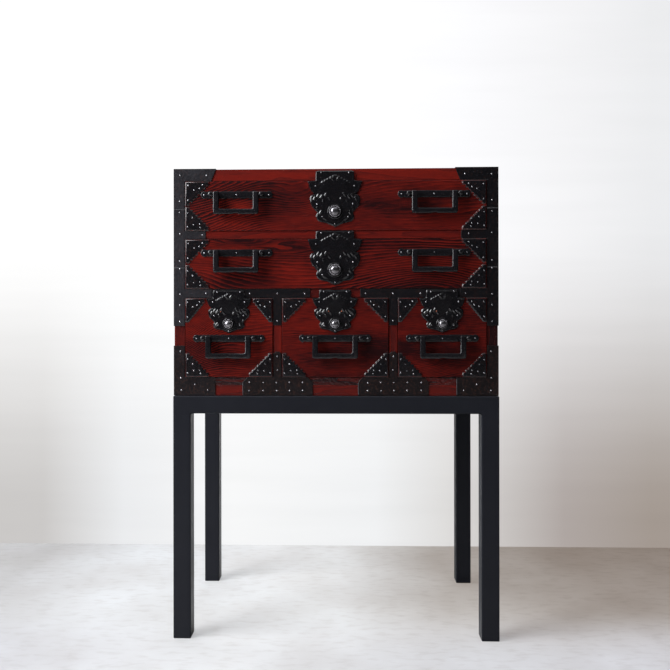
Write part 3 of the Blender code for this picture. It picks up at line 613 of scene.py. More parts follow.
# Lightness, shine, slant of the grain, ring spacing, the strength of the lines as (least, x, width, gain)
# with more of it about x, and hills as (x, z, width, height, rise, light), in metres
figure = {
    "top_drawer": (
        0.0,
        0.28,
        -0.04,
        5.2 * MM,
        (-0.62, -0.18, 0.09, 0.6),
        [
            (-0.31, 0.80, 0.20, 0.25, 0.085, 0.0), (-0.20, 0.785, 0.08, 0.03, 0.0, 0.16),
            (-0.06, 0.83, 0.065, 0.06, 0.04, 0.12), (0.20, 0.75, 0.20, 0.06, 0.02, -0.05),
            (-0.18, 0.81, 0.03, 0.015, 0.0, 0.25), (-0.085, 0.815, 0.04, 0.03, 0.0, -0.07),
            (0.09, 0.812, 0.06, 0.02, 0.0, 0.05),
        ],
    ),
    "middle_drawer": (
        -0.15,
        0.22,
        0.02,
        6.5 * MM,
        (-0.4, 0.12, 0.14, 0.3),
        [
            (-0.18, 0.745, 0.06, 0.012, 0.02, -0.15), (-0.10, 0.69, 0.09, 0.03, 0.0, 0.2),
            (-0.097, 0.727, 0.06, 0.011, 0.02, -0.06), (-0.25, 0.69, 0.05, 0.02, 0.0, 0.18),
            (-0.21, 0.725, 0.08, 0.03, 0.0, 0.2),
            (0.17, 0.655, 0.12, 0.07, -0.05, -0.16), (-0.30, 0.67, 0.10, 0.06, -0.03, 0.1),
        ],
    ),
    "lower_left_drawer": (
        -0.09,
        0.18,
        -0.03,
        4.4 * MM,
        (-0.48, -0.23, 0.06, 0.2),
        [(-0.31, 0.62, 0.075, 0.13, 0.075, 0.0), (-0.15, 0.52, 0.06, 0.06, 0.02, 0.05)],
    ),
    "lower_middle_drawer": (
        -0.23,
        0.16,
        0.01,
        3 * MM,
        (-0.55, 0, 0.1, 0.0),
        [(0.0, 0.57, 0.2, 0.1, 0.0, 0.12)],
    ),
    "lower_right_drawer": (
        -0.06,
        0.14,
        0.03,
        3.4 * MM,
        (-0.5, 0.2, 0.1, 0.0),
        [(0.24, 0.50, 0.08, 0.05, -0.025, -0.1)],
    ),
}


def stretched(place, run):
    """The same place with its x, y and z divided by run, so that a pattern on it is drawn out by run."""
    return place.node("ShaderNodeMapping", {"vector_type": "TEXTURE"}, {"Vector": place, "Scale": run})


def figured_wood(place, slant, spacing, hills):
    """Growth rings where a flat-sawn board cuts them, as (late wood 0 to 1, fibre streaks, broad tone).

    A ring height climbs with z, by slant with x, and a little with depth. Bell-shaped hills and noise
    swell it, so its level lines bend into arches and eyes. Its saw teeth are the rings.
    """
    x, y, z = (axis_of(place, axis) for axis in "XYZ")
    height = z + x * slant + y * 0.4
    grain = stretched(place, (5, 1, 1))
    strand = stretched(place, (14, 1, 1))
    tone = noise(grain, 10.0)
    for hill_x, hill_z, wide, tall, rise, light in hills:
        off = ((x - hill_x) / wide) ** 2.0 + ((z - hill_z) / tall) ** 2.0
        bell = place.maths("EXPONENT", 0 - off)
        height = height + bell * rise
        tone = tone + bell * light
    height = height + noise(grain, 14.0) * 0.035 + noise(grain, 75.0) * 0.008
    return place.maths("FRACT", height / spacing), noise(strand, 800.0, 3.0), tone


def front_finish(name, light, shine, slant, spacing, lively, hills):
    """Lacquered wood in front and on the edges, bare wood behind."""

    def pattern(place):
        rings = figured_wood(place, slant, spacing, hills)
        late, fibre, tone = rings
        patches = stretched(place, (3, 1, 1))
        fade = noise(patches, 26.0)
        least, lively_x, lively_width, gain = lively
        across = axis_of(place, "X")
        swell = place.maths("EXPONENT", 0 - ((across - lively_x) / lively_width) ** 2.0) * gain
        lines = ((1 - late) ** 1.7 - 0.4) * place.maths("MAXIMUM", fade * 1.5 + swell + least, 0.1)
        blotch = noise(patches, 70.0, 3.0) - 0.5
        glow = (tone * 1.5 + (light - 0.52)) + lines + blotch * 0.45 + (fibre - 0.5) * 0.55
        red, red_rough, red_normal = lacquered(place, glow, rings)
        behind = axis_of(place, "Y") > chest_front + lacquered_edge
        colour = colour_between(behind, red, BARE_EARLY)
        return {"Base Color": colour, "Roughness": red_rough + behind * 0.4, "Normal": red_normal}

    return surface_finish(name, {"Specular IOR Level": shine}, pattern)


def tray_finish(name, heart):
    """Bare wood whose grain runs from front to back."""

    def pattern(place):
        colour, rough, normal = bare(place, grown_wood(place, heart, (0, 0, 0), (3, 9, 1), 7 * MM))
        return {"Base Color": colour, "Roughness": rough, "Normal": normal}

    return surface_finish(name, {"Specular IOR Level": 0.3}, pattern)


for order, drawer in enumerate(drawers):
    dress(drawer + "_front", front_finish(drawer + "_figure", *figure[drawer]))
    dress(drawer + "_tray", tray_finish(drawer + "_tray_wood", (0.05 * order, 0.3, 0.2 + 0.1 * order)))
    dress(drawer + "_lock_bolt", dark_iron)

# Drawer corner irons: right triangles of thin sheet iron with a scalloped long side and bevelled edges,
# nailed over the corners of every front. Those beside the small outer locks are cut narrower.
sharp = 0.1 * MM
fitting_iron = iron_finish(
    "fitting_iron", (0.0052, 0.0048, 0.0064), 0.25, 0.1, 0.13, 0.6, wear=0.0, arris=sharp
)
corner_leg = 45 * MM
crowded_leg = 37.5 * MM
corner_tip = 5 * MM
lobes = 8
lobe_depth = 1.2 * MM
# The edge's insets and heights, in millimetres, from under the face of the front up over the bevel
corner_levels = MM * np.array(
    [(-0.3, -1.9), (-0.3, 0.1), (0.0, 0.35), (0.1, 0.42), (1.9, 1.66), (2.1, 1.74), (2.4, 1.75)]
)
corner_nail_lift = 1.4 * MM
# Nails on an upper and on a lower iron, as shares of its leg from the right angle
upper_nails = np.array([(0.13, 0.165), (0.73, 0.145), (0.38, 0.36), (0.12, 0.78), (0.60, 0.29)])
lower_nails = np.array([(0.10, 0.17), (0.64, 0.14), (0.61, 0.28), (0.36, 0.26), (0.31, 0.54), (0.10, 0.74)])


def corner_outline(wide, tall):
    """A right triangle from its right angle, its long side bulged by |sin| of its run."""
    run = np.linspace(0, 1, 10 * lobes + 1)
    start, end = np.array([wide, corner_tip]), np.array([corner_tip, tall])
    bulge = lobe_depth * np.abs(np.sin(np.pi * lobes * run))
    edge = start + run[:, None] * (end - start) + bulge[:, None] * np.sqrt(0.5)
    return np.concatenate([[(0, 0), (wide, 0)], edge, [(0, tall)]])


def corner_irons(drawer, top_width):
    """Irons on all four corners of a drawer front, and the places of their nails."""
    low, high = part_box(drawer + "_front")
    shells, places = [], []
    face = high[1] - front_thick
    for x, across in ((low[0], 1), (high[0], -1)):
        for z, up, wide in ((low[2], 1, corner_leg), (high[2], -1, top_width)):
            outline = corner_outline(wide, corner_leg) * (across, up)
            if across * up < 0:
                outline = outline[::-1]
            shells.append(moved(edge_shell(outline, corner_levels), FRONTWARD, (x, face, z)))
            shares = lower_nails if up > 0 else upper_nails
            spots = shares * (wide, corner_leg) * (across, up) + (x, z)
            depth = np.full(len(spots), face - corner_nail_lift)
            places.append(np.stack([spots[:, 0], depth, spots[:, 1]], axis=1))
    return shells, np.concatenate(places)


drawer_nails = {}
for drawer in drawers:
    crowded = drawer in ("lower_left_drawer", "lower_right_drawer")
    shells, drawer_nails[drawer] = corner_irons(drawer, crowded_leg if crowded else corner_leg)
    piece(drawer + "_corner_irons", shells, fitting_iron, drawer)

# Lock plates: scalloped plates of sheet iron, beaten up from behind into a gable, leaves and a soft rim,
# with a plain collar about the lock boss. They are nailed to the fronts, and the tab covers the rail.
lock_iron = iron_finish("lock_iron", (0.0045, 0.0042, 0.0056), 0.1, 0.12, 0.07, 0.8, wear=0.0, arris=sharp)
# Corners of the right half below the tab, as shares of the half width and of the drop
LOCK_SHAPE = np.array(
    [
        (1, 0.01), (0.903, 0.179), (0.829, 0.241), (0.707, 0.262), (0.887, 0.332), (0.903, 0.452),
        (0.829, 0.564), (0.732, 0.624), (0.65, 0.686), (0.691, 0.756), (0.65, 0.838), (0.524, 0.888),
        (0.342, 0.909), (0.117, 0.961),
    ]
)
lock_cusps = (0, 3, 8)
lock_nail_shares = [(0.70, -0.11), (0.65, -0.50), (0.47, -0.775)]
middle_nail_shares = (-0.93, -0.1)
tab_share = 0.7
tab_nail_share = 0.5
# In millimetres: the hole for the boss's stem, the nails' drop from the tab's top, the larger plate's half
# width, the sheet's height at its edge, inside it and by its pillow, its bevel, and the rim's inset
stem_hole = 7.8
tab_nail_drop = 4
full_half = 51.5
sheet_edge, sheet_rise, sheet_pillow = 0.4, 1.2, 0.9
sheet_bevel = 1.8
rim_inset = 2.4
inner_rings, outer_rings, edge_rings = 40, 52, 12
outline_steps = 520


def curved(points, cusps, steps):
    """A closed curve through the points: cubic runs whose slopes follow the neighbours, but not at cusps."""
    ahead = np.roll(points, -1, axis=0)
    slope = (ahead - np.roll(points, 1, axis=0)) / 2
    leave, arrive = slope.copy(), slope.copy()
    leave[cusps] = (ahead - points)[cusps]
    arrive[cusps] = (points - np.roll(points, 1, axis=0))[cusps]
    arrive = np.roll(arrive, -1, axis=0)
    t = np.linspace(0, 1, steps, endpoint=False)[None, :, None]
    near, far = points[:, None], ahead[:, None]
    runs = (
        near * (2 * t**3 - 3 * t**2 + 1)
        + leave[:, None] * (t**3 - 2 * t**2 + t)
        + far * (3 * t**2 - 2 * t**3)
        + arrive[:, None] * (t**3 - t**2)
    )
    return runs.reshape(-1, 2)


def even_steps(curve, count):
    """A closed curve again at count places, evenly spaced along its length."""
    closed = np.concatenate([curve, curve[:1]])
    length = np.concatenate([[0], np.cumsum(np.linalg.norm(np.diff(closed, axis=0), axis=1))])
    at = np.linspace(0, length[-1], count, endpoint=False)
    return np.stack([np.interp(at, length, closed[:, axis]) for axis in (0, 1)], axis=1)


def nearness(points, curve, width):
    """A ridge along a curve: exp of minus the squared distance to it, over width squared."""
    gap = np.linalg.norm(points[:, None] - curve[None], axis=2).min(axis=1)
    return np.exp(-((gap / width) ** 2))


def leaves(points, marks, unit):
    """Leaf-shaped bumps: for each (x, z, angle, length, width, height), a bell along and across its lie."""
    x, z, angle, length, width, height = np.array(marks, float).T
    turn = np.radians(angle)
    off_x = points[:, :1] - unit * x
    off_z = points[:, 1:] - unit * z
    along = (off_x * np.cos(turn) + off_z * np.sin(turn)) / (unit * length)
    across = (off_z * np.cos(turn) - off_x * np.sin(turn)) / (unit * width)
    vein = 0.35 * np.exp(-((across / 0.22) ** 2)) * np.exp(-((along / 0.7) ** 2))
    return (height * (np.exp(-(along**2) - across**2) - 0.6 * vein)).max(axis=1)


# Leaves of the right half for the larger plate, as x, z, angle, length, width and height, in millimetres
# from the middle of the drawer's top edge
lock_leaves = [
    (32, -28, 126, 4.4, 1.7, 1.7), (25.5, -29.5, 124, 4.6, 1.7, 1.7), (17, -25, 120, 5.4, 1.9, 2.0),
    (22, -38, 95, 3.8, 1.8, 1.0), (38.5, -33, 118, 3.8, 1.6, 1.6), (27, -59, 126, 4.4, 1.7, 1.7),
    (11, -33, 60, 3.6, 1.6, 1.2), (20, -70, 35, 5.2, 2.2, 1.0), (33, -51, 75, 4.6, 2.0, 1.1),
]
gable_leaves = [(5, 3, 52, 4.6, 1.7, 1.1)]
# The gable's peak, slope, lobes, the run and rise of its bank, and how far it reaches aside and down
gable_peak, gable_slope = 11.0, 0.52
gable_lobe, gable_lobe_run = 1.6, 5.2
bank_run, bank_rise = 2.4, 2.4
gable_aside, gable_fade = 31, 11
gable_down, gable_sink = 36, 40
# The keyhole, right of the boss: a round hole over a slot
key_aside = 24
key_radius = 2.2
slot_half, slot_long = 1.1, 3.5
key_depth = 1.3


def lock_relief(points, rim, boss, half):
    """Height of the beaten pattern: a soft rim, a raised gable with a lobed edge, leaves, a keyhole."""
    mirrored = np.stack([np.abs(points[:, 0]), points[:, 1]], axis=1)
    unit = half / full_half
    relief = 0.4 * nearness(points, rim, 1.5 * unit)
    aside, upward = (mirrored / unit).T
    gable = gable_peak - gable_slope * aside + gable_lobe * np.abs(np.sin(np.pi * aside / gable_lobe_run))
    inward = np.clip((gable - upward) / bank_run, 0, 1)
    spread = np.clip((gable_aside - aside) / gable_fade, 0, 1)
    spread = spread * np.clip((upward + gable_down) / gable_sink, 0, 1)
    medallion = bank_rise * inward**2 * (3 - 2 * inward) * spread + leaves(mirrored, gable_leaves, unit)
    relief = np.maximum(np.maximum(relief, medallion), leaves(mirrored, lock_leaves, unit))
    key = points - boss - (key_aside, 0)
    slot = np.maximum(np.abs(key[:, 0]) / slot_half, np.abs(key[:, 1] + slot_long) / slot_long)
    inside = np.minimum(np.hypot(key[:, 0], key[:, 1]) / key_radius, slot)
    return np.where(inside < 1, -key_depth, relief)


def closed_walls(count, rings):
    """The walls of ring_walls and one more row of quads, from the last ring back to the first."""
    closing = ring_walls(count, 2)
    closing = np.where(closing < count, closing + count * (rings - 1), closing - count)
    return np.concatenate([ring_walls(count, rings), closing])


def lock_plate(drawer):
    """The embossed plate as a ring of (turn, share): from the boss hole, over an oval, out to the outline."""
    low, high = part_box(drawer + "_lock_plate")
    boss_low, boss_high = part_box(drawer + "_lock_boss")
    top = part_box(drawer + "_front")[1][2]
    middle = (low[0] + high[0]) / 2
    half = (high[0] - low[0]) / 2 / MM
    drop = (top - low[2]) / MM
    rise = (high[2] - top) / MM
    boss = np.array([0, ((boss_low[2] + boss_high[2]) / 2 - top) / MM])
    tab = tab_share * half
    ease = np.array([(-4.5, 0), (-1.3, -1.3), (0, -4.5)]) + (tab, rise)
    right = np.concatenate([ease, [(tab + 0.3, 1)], LOCK_SHAPE * (half, -drop)])
    whole = np.concatenate([right, [(0, -drop)], right[::-1] * (-1, 1)])[::-1]
    count = len(whole)
    cusps = [index for cusp in lock_cusps for index in (count - 1 - (cusp + 4), cusp + 4)]
    cusps += [0, 3, count - 1, count - 4, len(right)]
    outline = even_steps(curved(whole, cusps, 14), outline_steps)
    outline = np.roll(outline, -int(np.argmax(outline[:, 1] * 4 + outline[:, 0] * 0.001)), axis=0)
    turn = np.arctan2(outline[:, 1] + 0.4 * drop, outline[:, 0])
    circle = np.stack([np.cos(turn), np.sin(turn)], axis=1)
    hole_edge = boss + stem_hole * circle
    oval = np.array([0, -0.485 * drop]) + circle * (0.39 * half, 0.37 * drop)
    share = np.linspace(0, 1, inner_rings)[:, None, None]
    inner = hole_edge + share * (oval - hole_edge)
    share = np.concatenate([np.linspace(0, 0.94, outer_rings)[1:], np.linspace(0.945, 1.0, edge_rings)])
    share = share[:, None, None]
    outer = oval + share * (outline - oval)
    flat = np.concatenate([inner, outer])
    rings, turns = flat.shape[:2]
    spots = flat.reshape(-1, 2)
    rim = outline + rim_inset * (oval - outline) / np.linalg.norm(oval - outline, axis=1, keepdims=True)
    height = lock_relief(spots, rim, boss, half).reshape(rings, turns)
    pillow = sheet_pillow * np.concatenate([np.ones(inner_rings), 1 - share[:, 0, 0] ** 2])
    bevel = np.clip(np.linalg.norm(flat - outline, axis=2) / sheet_bevel, 0, 1)
    height = sheet_edge + (sheet_rise + height) * bevel + pillow[:, None]
    back = np.zeros((1, turns))
    height = np.concatenate([back, height, back])
    flat = np.concatenate([flat[:1], flat, flat[-1:]])
    points = np.concatenate([flat, height[..., None]], axis=2).reshape(-1, 3) * MM
    place = (middle, high[1], top)
    shell = moved((points, closed_walls(turns, rings + 2), []), FRONTWARD, place)
    return shell, place, boss, half, drop, rise


collar_width = 2.4 * MM
collar_gap = 0.5 * MM
collar_wall, collar_round = 0.8 * MM, 1.2 * MM
collar_turns = 64
plate_face = 2.2 * MM


def collar(boss_radius):
    """A plain ring about the boss: a half round on a low wall, carried round a circle."""
    inner = boss_radius + collar_gap
    outer = inner + collar_width
    bend = np.linspace(0, np.pi, 9)
    across = (inner + outer) / 2 + collar_width / 2 * np.cos(bend)
    profile = np.stack([across, collar_wall + collar_round * np.sin(bend)], axis=1)
    profile = np.concatenate([[(outer, 0)], profile, [(inner, 0)]])
    points, _, _ = turned_shell(profile, collar_turns)
    return points, closed_walls(collar_turns, len(profile)), []


for drawer in drawers:
    plate, place, boss, half, drop, rise = lock_plate(drawer)
    boss_low, boss_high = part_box(drawer + "_lock_boss")
    boss_radius = (boss_high[0] - boss_low[0]) / 2
    collar_place = (place[0], place[1] - plate_face, place[2] + boss[1] * MM)
    shells = [plate, moved(collar(boss_radius), FRONTWARD, collar_place)]
    piece(drawer + "_lock_embossing", shells, lock_iron, drawer, [drawer + "_lock_plate"])
    spots = [(side * u * half, v * drop) for u, v in lock_nail_shares for side in (-1, 1)]
    spots += [(side * tab_nail_share * half, rise - tab_nail_drop) for side in (-1, 1)]
    spots += [(0, v * drop) for v in middle_nail_shares]
    spots = np.array(spots) * MM
    depth = np.full(len(spots), place[1] - plate_face)
    spots = np.stack([place[0] + spots[:, 0], depth, place[2] + spots[:, 1]], axis=1)
    drawer_nails[drawer] = np.concatenate([drawer_nails[drawer], spots])

# Lock bosses: polished iron domes with a beaded flange, on a flat-sided stem that runs through the front.
# A push moves the wedge at the stem's end, which lifts the bolt. The small domes are chased all over.
boss_iron = iron_finish(
    "boss_iron", (0.22, 0.21, 0.224), 0.0, 0.05, 0.16, 0.5, wear=0.0, metal=0.92, arris=sharp
)
chased_iron = iron_finish(
    "chased_iron", (0.26, 0.25, 0.264), 0.0, 1.0, 0.13, 0.5, wear=0.0, metal=0.92, arris=sharp
)
flange = 1.4 * MM
flange_round = 0.4 * MM
flange_draft = 0.3 * MM
dome_share = 0.74
beads_share, bead_share = 0.865, 0.115
beads_in_ring = 20
stem_overlap = 0.5 * MM
stem_width, stem_half = 8 * MM, 6 * MM
wedge_run, wedge_drop = 6.5 * MM, 9.75 * MM


def wedge(root, end):
    """The stem from root back to end, its upper side cut away slantwise over the last wedge_run."""
    side = [
        (root, -stem_half), (end, -stem_half), (end, stem_half - wedge_drop), (end - wedge_run, stem_half),
        (root, stem_half),
    ]
    return edge_shell(np.array(side), [(0, 0), (0, stem_width)])


def bead_ring(radius, bead, count):
    """A ring of small domes: the first one's points carried round by equal turns."""
    bend = np.linspace(0, np.pi / 2, 5)[:-1]
    dome = np.stack([bead * np.cos(bend), bead * np.sin(bend)], axis=1)
    profile = np.concatenate([[(bead, -bead / 2)], dome, [(0.15 * bead, bead)]])
    one, quads, caps = turned_shell(profile, 10)
    angle = 2 * np.pi * np.arange(count) / count
    hubs = np.stack([radius * np.cos(angle), radius * np.sin(angle), np.zeros(count)], axis=1)
    return repeated(one[None] + hubs[:, None], quads, caps)


for drawer in drawers:
    low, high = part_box(drawer + "_lock_boss")
    radius = (high[0] - low[0]) / 2
    dome_radius = dome_share * radius
    rise = 0.5 * radius + 1 * MM
    bend = np.linspace(0, np.pi / 2, 17)[:-1]
    dome = np.stack([dome_radius * np.cos(bend), flange + (rise - flange) * np.sin(bend)], axis=1)
    profile = [(radius - flange_round, 0), (radius, flange_round), (radius - flange_draft, flange)]
    profile = np.concatenate([profile, dome, [(0.03 * radius, rise)]])
    place = ((low[0] + high[0]) / 2, low[1] + rise, (low[2] + high[2]) / 2)
    beads = bead_ring(beads_share * radius, bead_share * radius, beads_in_ring)
    shells = [moved(turned_shell(profile, 56), FRONTWARD, place)]
    shells.append(moved(beads, FRONTWARD, (place[0], place[1] - flange, place[2])))
    stem = wedge(place[1] - stem_overlap, high[1])
    shells.append(moved(stem, RIGHTWARD, (place[0] - stem_width / 2, 0, place[2])))
    finish = boss_iron if drawer in wide_drawers else chased_iron
    node = drawer + "_lock_boss"
    piece(drawer + "_boss_dome", shells, finish, node, [node])

# Copper rivets: two in each small lock plate, peened over where they hold the works behind it. They are
# low domes like the nails' heads, tarnished in patches.


def copper_pattern(place):
    """Copper that noise darkens and dulls in patches."""
    tarnish = noise(place, 500.0, 3.0)
    colour = colour_between(tarnish, (0.5, 0.16, 0.09, 1), (0.2, 0.06, 0.04, 1))
    return {"Base Color": colour, "Roughness": 0.25 + tarnish * 0.2}


rivet_copper = surface_finish("rivet_copper", {"Metallic": 0.9}, copper_pattern)
rivet_size = 0.75
rivet_depth = 2.6 * MM
# Places from the middle of the drawer's top edge, in millimetres
rivet_spots = {
    "lower_left_drawer": [(-15, -25), (3, -6.5)],
    "lower_middle_drawer": [(-12, -25), (12, -25)],
    "lower_right_drawer": [(-11, -25), (9, -8)],
}
for drawer, spots in rivet_spots.items():
    low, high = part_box(drawer + "_lock_plate")
    middle, top = (low[0] + high[0]) / 2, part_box(drawer + "_front")[1][2]
    places = [(middle + u * MM, high[1] - rivet_depth, top + v * MM) for u, v in spots]
    heads = nail_heads(places, FRONTWARD, rivet_size)
    piece(drawer + "_rivets", [heads], rivet_copper, drawer)

# Handles: a long backplate with round ends, two posts riveted through it, and a square forged bail that
# hangs from pins in the posts.
forged_iron = iron_finish("forged_iron", (0.0068, 0.0065, 0.0085), 0.1, 0.5, 0.14, 0.6, wear=0.1)
backplate_high, backplate_lobe = 13 * MM, 7 * MM
backplate_levels = rounded_levels(1.8 * MM, 0.9 * MM)
post_reach = 47.6 * MM
post_sink = 0.6 * MM
bail_wide, bail_drop, bail_rise = 85 * MM, 37.5 * MM, 4.6 * MM
bail_arm, bail_bar = 10.5 * MM, 9.5 * MM
bail_thick = 9 * MM
bail_levels = rounded_levels(bail_thick, 1.7 * MM, both=True)
dip_half, dip_deep = 9 * MM, 1.3 * MM
pin_reach = 37 * MM
pin_profile = [(2.1 * MM, 0), (2.1 * MM, 9 * MM), (1.5 * MM, 9.6 * MM)]
backplate_nails = (-61 * MM, 0, 61 * MM)
backplate_nail_lift = 1.7 * MM


def backplate_outline(length, height, lobe):
    """A straight plate that waists a little before a round lobe at each end."""
    centre = length / 2 - lobe
    sweep = np.radians(126) * np.linspace(-1, 1, 25)
    end = np.stack([centre + lobe * np.cos(sweep), lobe * np.sin(sweep)], axis=1)
    straight = np.array([(centre - lobe, -height / 2)])
    right = np.concatenate([straight, end, straight * (1, -1)])
    return np.concatenate([right, -right])


def bail_outline(width, drop, rise, arm, bar):
    """A square U with eased corners and a shallow dip in the middle of its bar."""
    half = width / 2
    inner = half - arm
    ease = 2 * MM
    run = np.linspace(-1, 1, 15)
    dip = np.stack([run * dip_half, -drop + dip_deep * np.cos(np.pi * run / 2) ** 2], axis=1)
    bend = np.linspace(0, np.pi / 2, 6)
    corner = np.stack([np.cos(bend), np.sin(bend)], axis=1)
    downward = np.stack([corner[:, 1], -corner[:, 0]], axis=1)
    outer_right = np.array([half - 2 * ease, -drop + 2 * ease]) + 2 * ease * downward
    top_right = np.array([half - ease, rise - ease]) + ease * corner
    inner_right = np.array([(inner, rise), (inner, -drop + bar + ease), (inner - ease, -drop + bar)])
    right = np.concatenate([dip[8:], outer_right, top_right, inner_right])
    return np.concatenate([dip[7:8], right, right[::-1] * (-1, 1)])


# Radii and heights of a post from the backplate out, in millimetres
post_profile = MM * np.array(
    [
        (4.7, 0), (4.7, 1.2), (3.9, 2.2), (3.8, 5.0), (4.6, 6.6), (4.7, 11.6), (4.2, 13.0), (3.0, 13.8),
        (0.4, 14.0),
    ]
)
for drawer in drawers:
    words = ("left_handle", "right_handle") if drawer in wide_drawers else ("handle",)
    for word in words:
        name = f"{drawer}_{word}"
        low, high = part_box(name + "_plate")
        bail_low, bail_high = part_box(name + "_bail")
        middle, pivot_z = (low[0] + high[0]) / 2, (low[2] + high[2]) / 2
        pivot_y = (bail_low[1] + bail_high[1]) / 2
        outline = backplate_outline(high[0] - low[0], backplate_high, backplate_lobe)
        plate = edge_shell(outline, backplate_levels)
        shells = [moved(plate, FRONTWARD, (middle, high[1], pivot_z))]
        piece(name + "_backplate", shells, forged_iron, drawer, [name + "_plate"])
        posts = [(middle + side * post_reach, high[1] - post_sink, pivot_z) for side in (-1, 1)]
        shells = [moved(turned_shell(post_profile, 24), FRONTWARD, post) for post in posts]
        piece(name + "_posts", shells, forged_iron, drawer)
        outline = bail_outline(bail_wide, bail_drop, bail_rise, bail_arm, bail_bar)
        bail = edge_shell(outline, bail_levels)
        shells = [moved(bail, FRONTWARD, (middle, pivot_y + bail_thick / 2, pivot_z))]
        for axes, side in ((LEFTWARD, -1), (RIGHTWARD, 1)):
            pin = (middle + side * pin_reach, pivot_y, pivot_z)
            shells.append(moved(turned_shell(pin_profile, 14), axes, pin))
        piece(name + "_forged_bail", shells, forged_iron, name + "_bail", [name + "_bail"])
        nail_y = high[1] - backplate_nail_lift
        spots = np.array([(middle + across, nail_y, pivot_z) for across in backplate_nails])
        drawer_nails[drawer] = np.concatenate([drawer_nails[drawer], spots])

# Drawer nails: the same domed heads of worn iron, a little smaller, on the corner irons, the lock plates
# and the backplates. Each is driven through the fitting into the front and strays from its mark.
drawer_nail_size = 0.88
drawer_nail_stray = 0.3 * MM
for drawer in drawers:
    marks = drawer_nails[drawer]
    stray = chance.uniform(-drawer_nail_stray, drawer_nail_stray, (len(marks), 1)) * (1, 0, 1)
    heads = nail_heads(marks + stray, FRONTWARD, drawer_nail_size)
    piece(drawer + "_nails", [heads], nail_iron, drawer)

# Room: a pale floor with a worn wash and a white wall close behind. The camera sees the wall wholly and
# the floor partly in a backdrop colour, palest left of the middle, with painted light and shade: it dims to
# the right and toward the floor, and a painted shadow lies under the chest. To the lamps both are plain and
# matt.


def flat_stage(name, corners, finish):
    """One flat four-sided face of the room."""
    mesh = bpy.data.meshes.new(name)
    mesh.from_pydata(corners, [], [(0, 1, 2, 3)])
    mesh.materials.append(finish)
    made = bpy.data.objects.new(name, mesh)
    bpy.context.scene.collection.objects.link(made)
    made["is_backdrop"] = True


def backdrop(finish, own_share, near, far, sunk, streaks):
    """Mix into a finish, for camera rays, its own colour.

    The stops near and far run along x from -1 m to 1 m and carry painted light and shade. sunk(place) blends
    the first into the second, and the result is multiplied by streaks(place). From behind, the surface is
    clear.
    """
    tree = finish.node_tree
    place = Wire(tree).node("ShaderNodeTexCoord", {}, {}, "Object")
    along = axis_of(place, "X") * 0.5 + 0.5
    first, second = (place.node("ShaderNodeValToRGB", {"stops": stops}, {0: along}) for stops in (near, far))
    colour = multiplied(colour_between(sunk(place), first, second), streaks(place))
    glow = place.node("ShaderNodeEmission", {}, {"Color": colour, "Strength": 1.0})
    seen = place.node("ShaderNodeLightPath", {}, {}, "Is Camera Ray") * own_share
    painted = Wire(tree, tree.nodes["Principled BSDF"].outputs[0])
    mixed = place.node("ShaderNodeMixShader", {}, {0: seen, 1: painted, 2: glow})
    beyond = place.node("ShaderNodeNewGeometry", {}, {}, "Backfacing")
    clear = place.node("ShaderNodeBsdfTransparent", {}, {})
    mixed = place.node("ShaderNodeMixShader", {}, {0: beyond, 1: mixed, 2: clear})
    tree.links.new(mixed.output, tree.nodes["Material Output"].inputs["Surface"])


def multiplied(first, second):
    """One colour times another."""
    settings = {"data_type": "RGBA", "blend_type": "MULTIPLY"}
    return first.node("ShaderNodeMix", settings, {0: 1.0, 6: first, 7: second}, 2)


def washed(place):
    """Cloudy brushed streaks along x, from white to a warm grey."""
    cloud = noise(place, 5.0, 8.0) * 3 - 1
    fine = noise(stretched(place, (2.6, 1, 1)), 75.0, 8.0)
    colour = colour_between(cloud, (0.87, 0.85, 0.835, 1), (1, 1, 1, 1))
    return colour_between((fine - 0.5) * 1.5, colour, (0.66, 0.62, 0.59, 1))


def floor_pattern(place):
    """The wash darkened to seven tenths, with a finely broken gloss."""
    speck = noise(place, 60.0, 3.0)
    return {"Base Color": multiplied(washed(place), (0.7, 0.7, 0.7, 1)), "Roughness": 0.5 + speck * 0.2}


floor_finish = surface_finish("floor_finish", {"Specular IOR Level": 0.3}, floor_pattern)
# Painted light and shade: the floor's colour in front, pale where the window falls and dimmer to the sides.
floor_front_light_and_shade = [
    (0.15, (0.33, 0.335, 0.42, 1)), (0.4, (1.09, 1.12, 1.17, 1)), (0.6, (0.89, 0.9, 0.96, 1)),
    (0.8, (0.89, 0.88, 0.96, 1)),
]
# Painted shadow: the colour blended in under the chest, darker toward the right where the chest's shadow
# lies.
floor_rear_light_and_shade = [
    (0.12, (0.18, 0.17, 0.175, 1)), (0.24, (0.75, 0.785, 0.83, 1)), (0.5, (1.19, 1.21, 1.23, 1)),
    (0.62, (0.67, 0.6, 0.54, 1)), (0.8, (0.42, 0.32, 0.25, 1)),
]


def eased(place, axis, start, end):
    """A smooth step from 0 at start to 1 at end, along one axis."""
    sockets = {"Value": axis_of(place, axis), "From Min": start, "From Max": end}
    return place.node("ShaderNodeMapRange", {"interpolation_type": "SMOOTHSTEP"}, sockets)


def rearward(place):
    """From 0 a little in front of the stand to 1 under the middle of the chest."""
    return eased(place, "Y", -0.27, 0.0)


floor_own_share = 0.46
backdrop(floor_finish, floor_own_share, floor_front_light_and_shade, floor_rear_light_and_shade, rearward, washed)
wall_y = 0.435
reach = 6.0
floor_corners = [(-reach, -reach, 0), (reach, -reach, 0), (reach, wall_y, 0), (-reach, wall_y, 0)]
flat_stage("floor", floor_corners, floor_finish)


def wall_pattern(place):
    """White paint, mottled by the roller."""
    roller = noise(place, 40.0, 4.0)
    colour = colour_between(roller, (0.86, 0.86, 0.865, 1), (0.89, 0.89, 0.89, 1))
    return {"Base Color": colour, "Roughness": 0.8 + roller * 0.1}


def toward_floor(place):
    """From 0 at the height of the chest's top to 1 near the floor."""
    return eased(place, "Z", 0.9, 0.05)


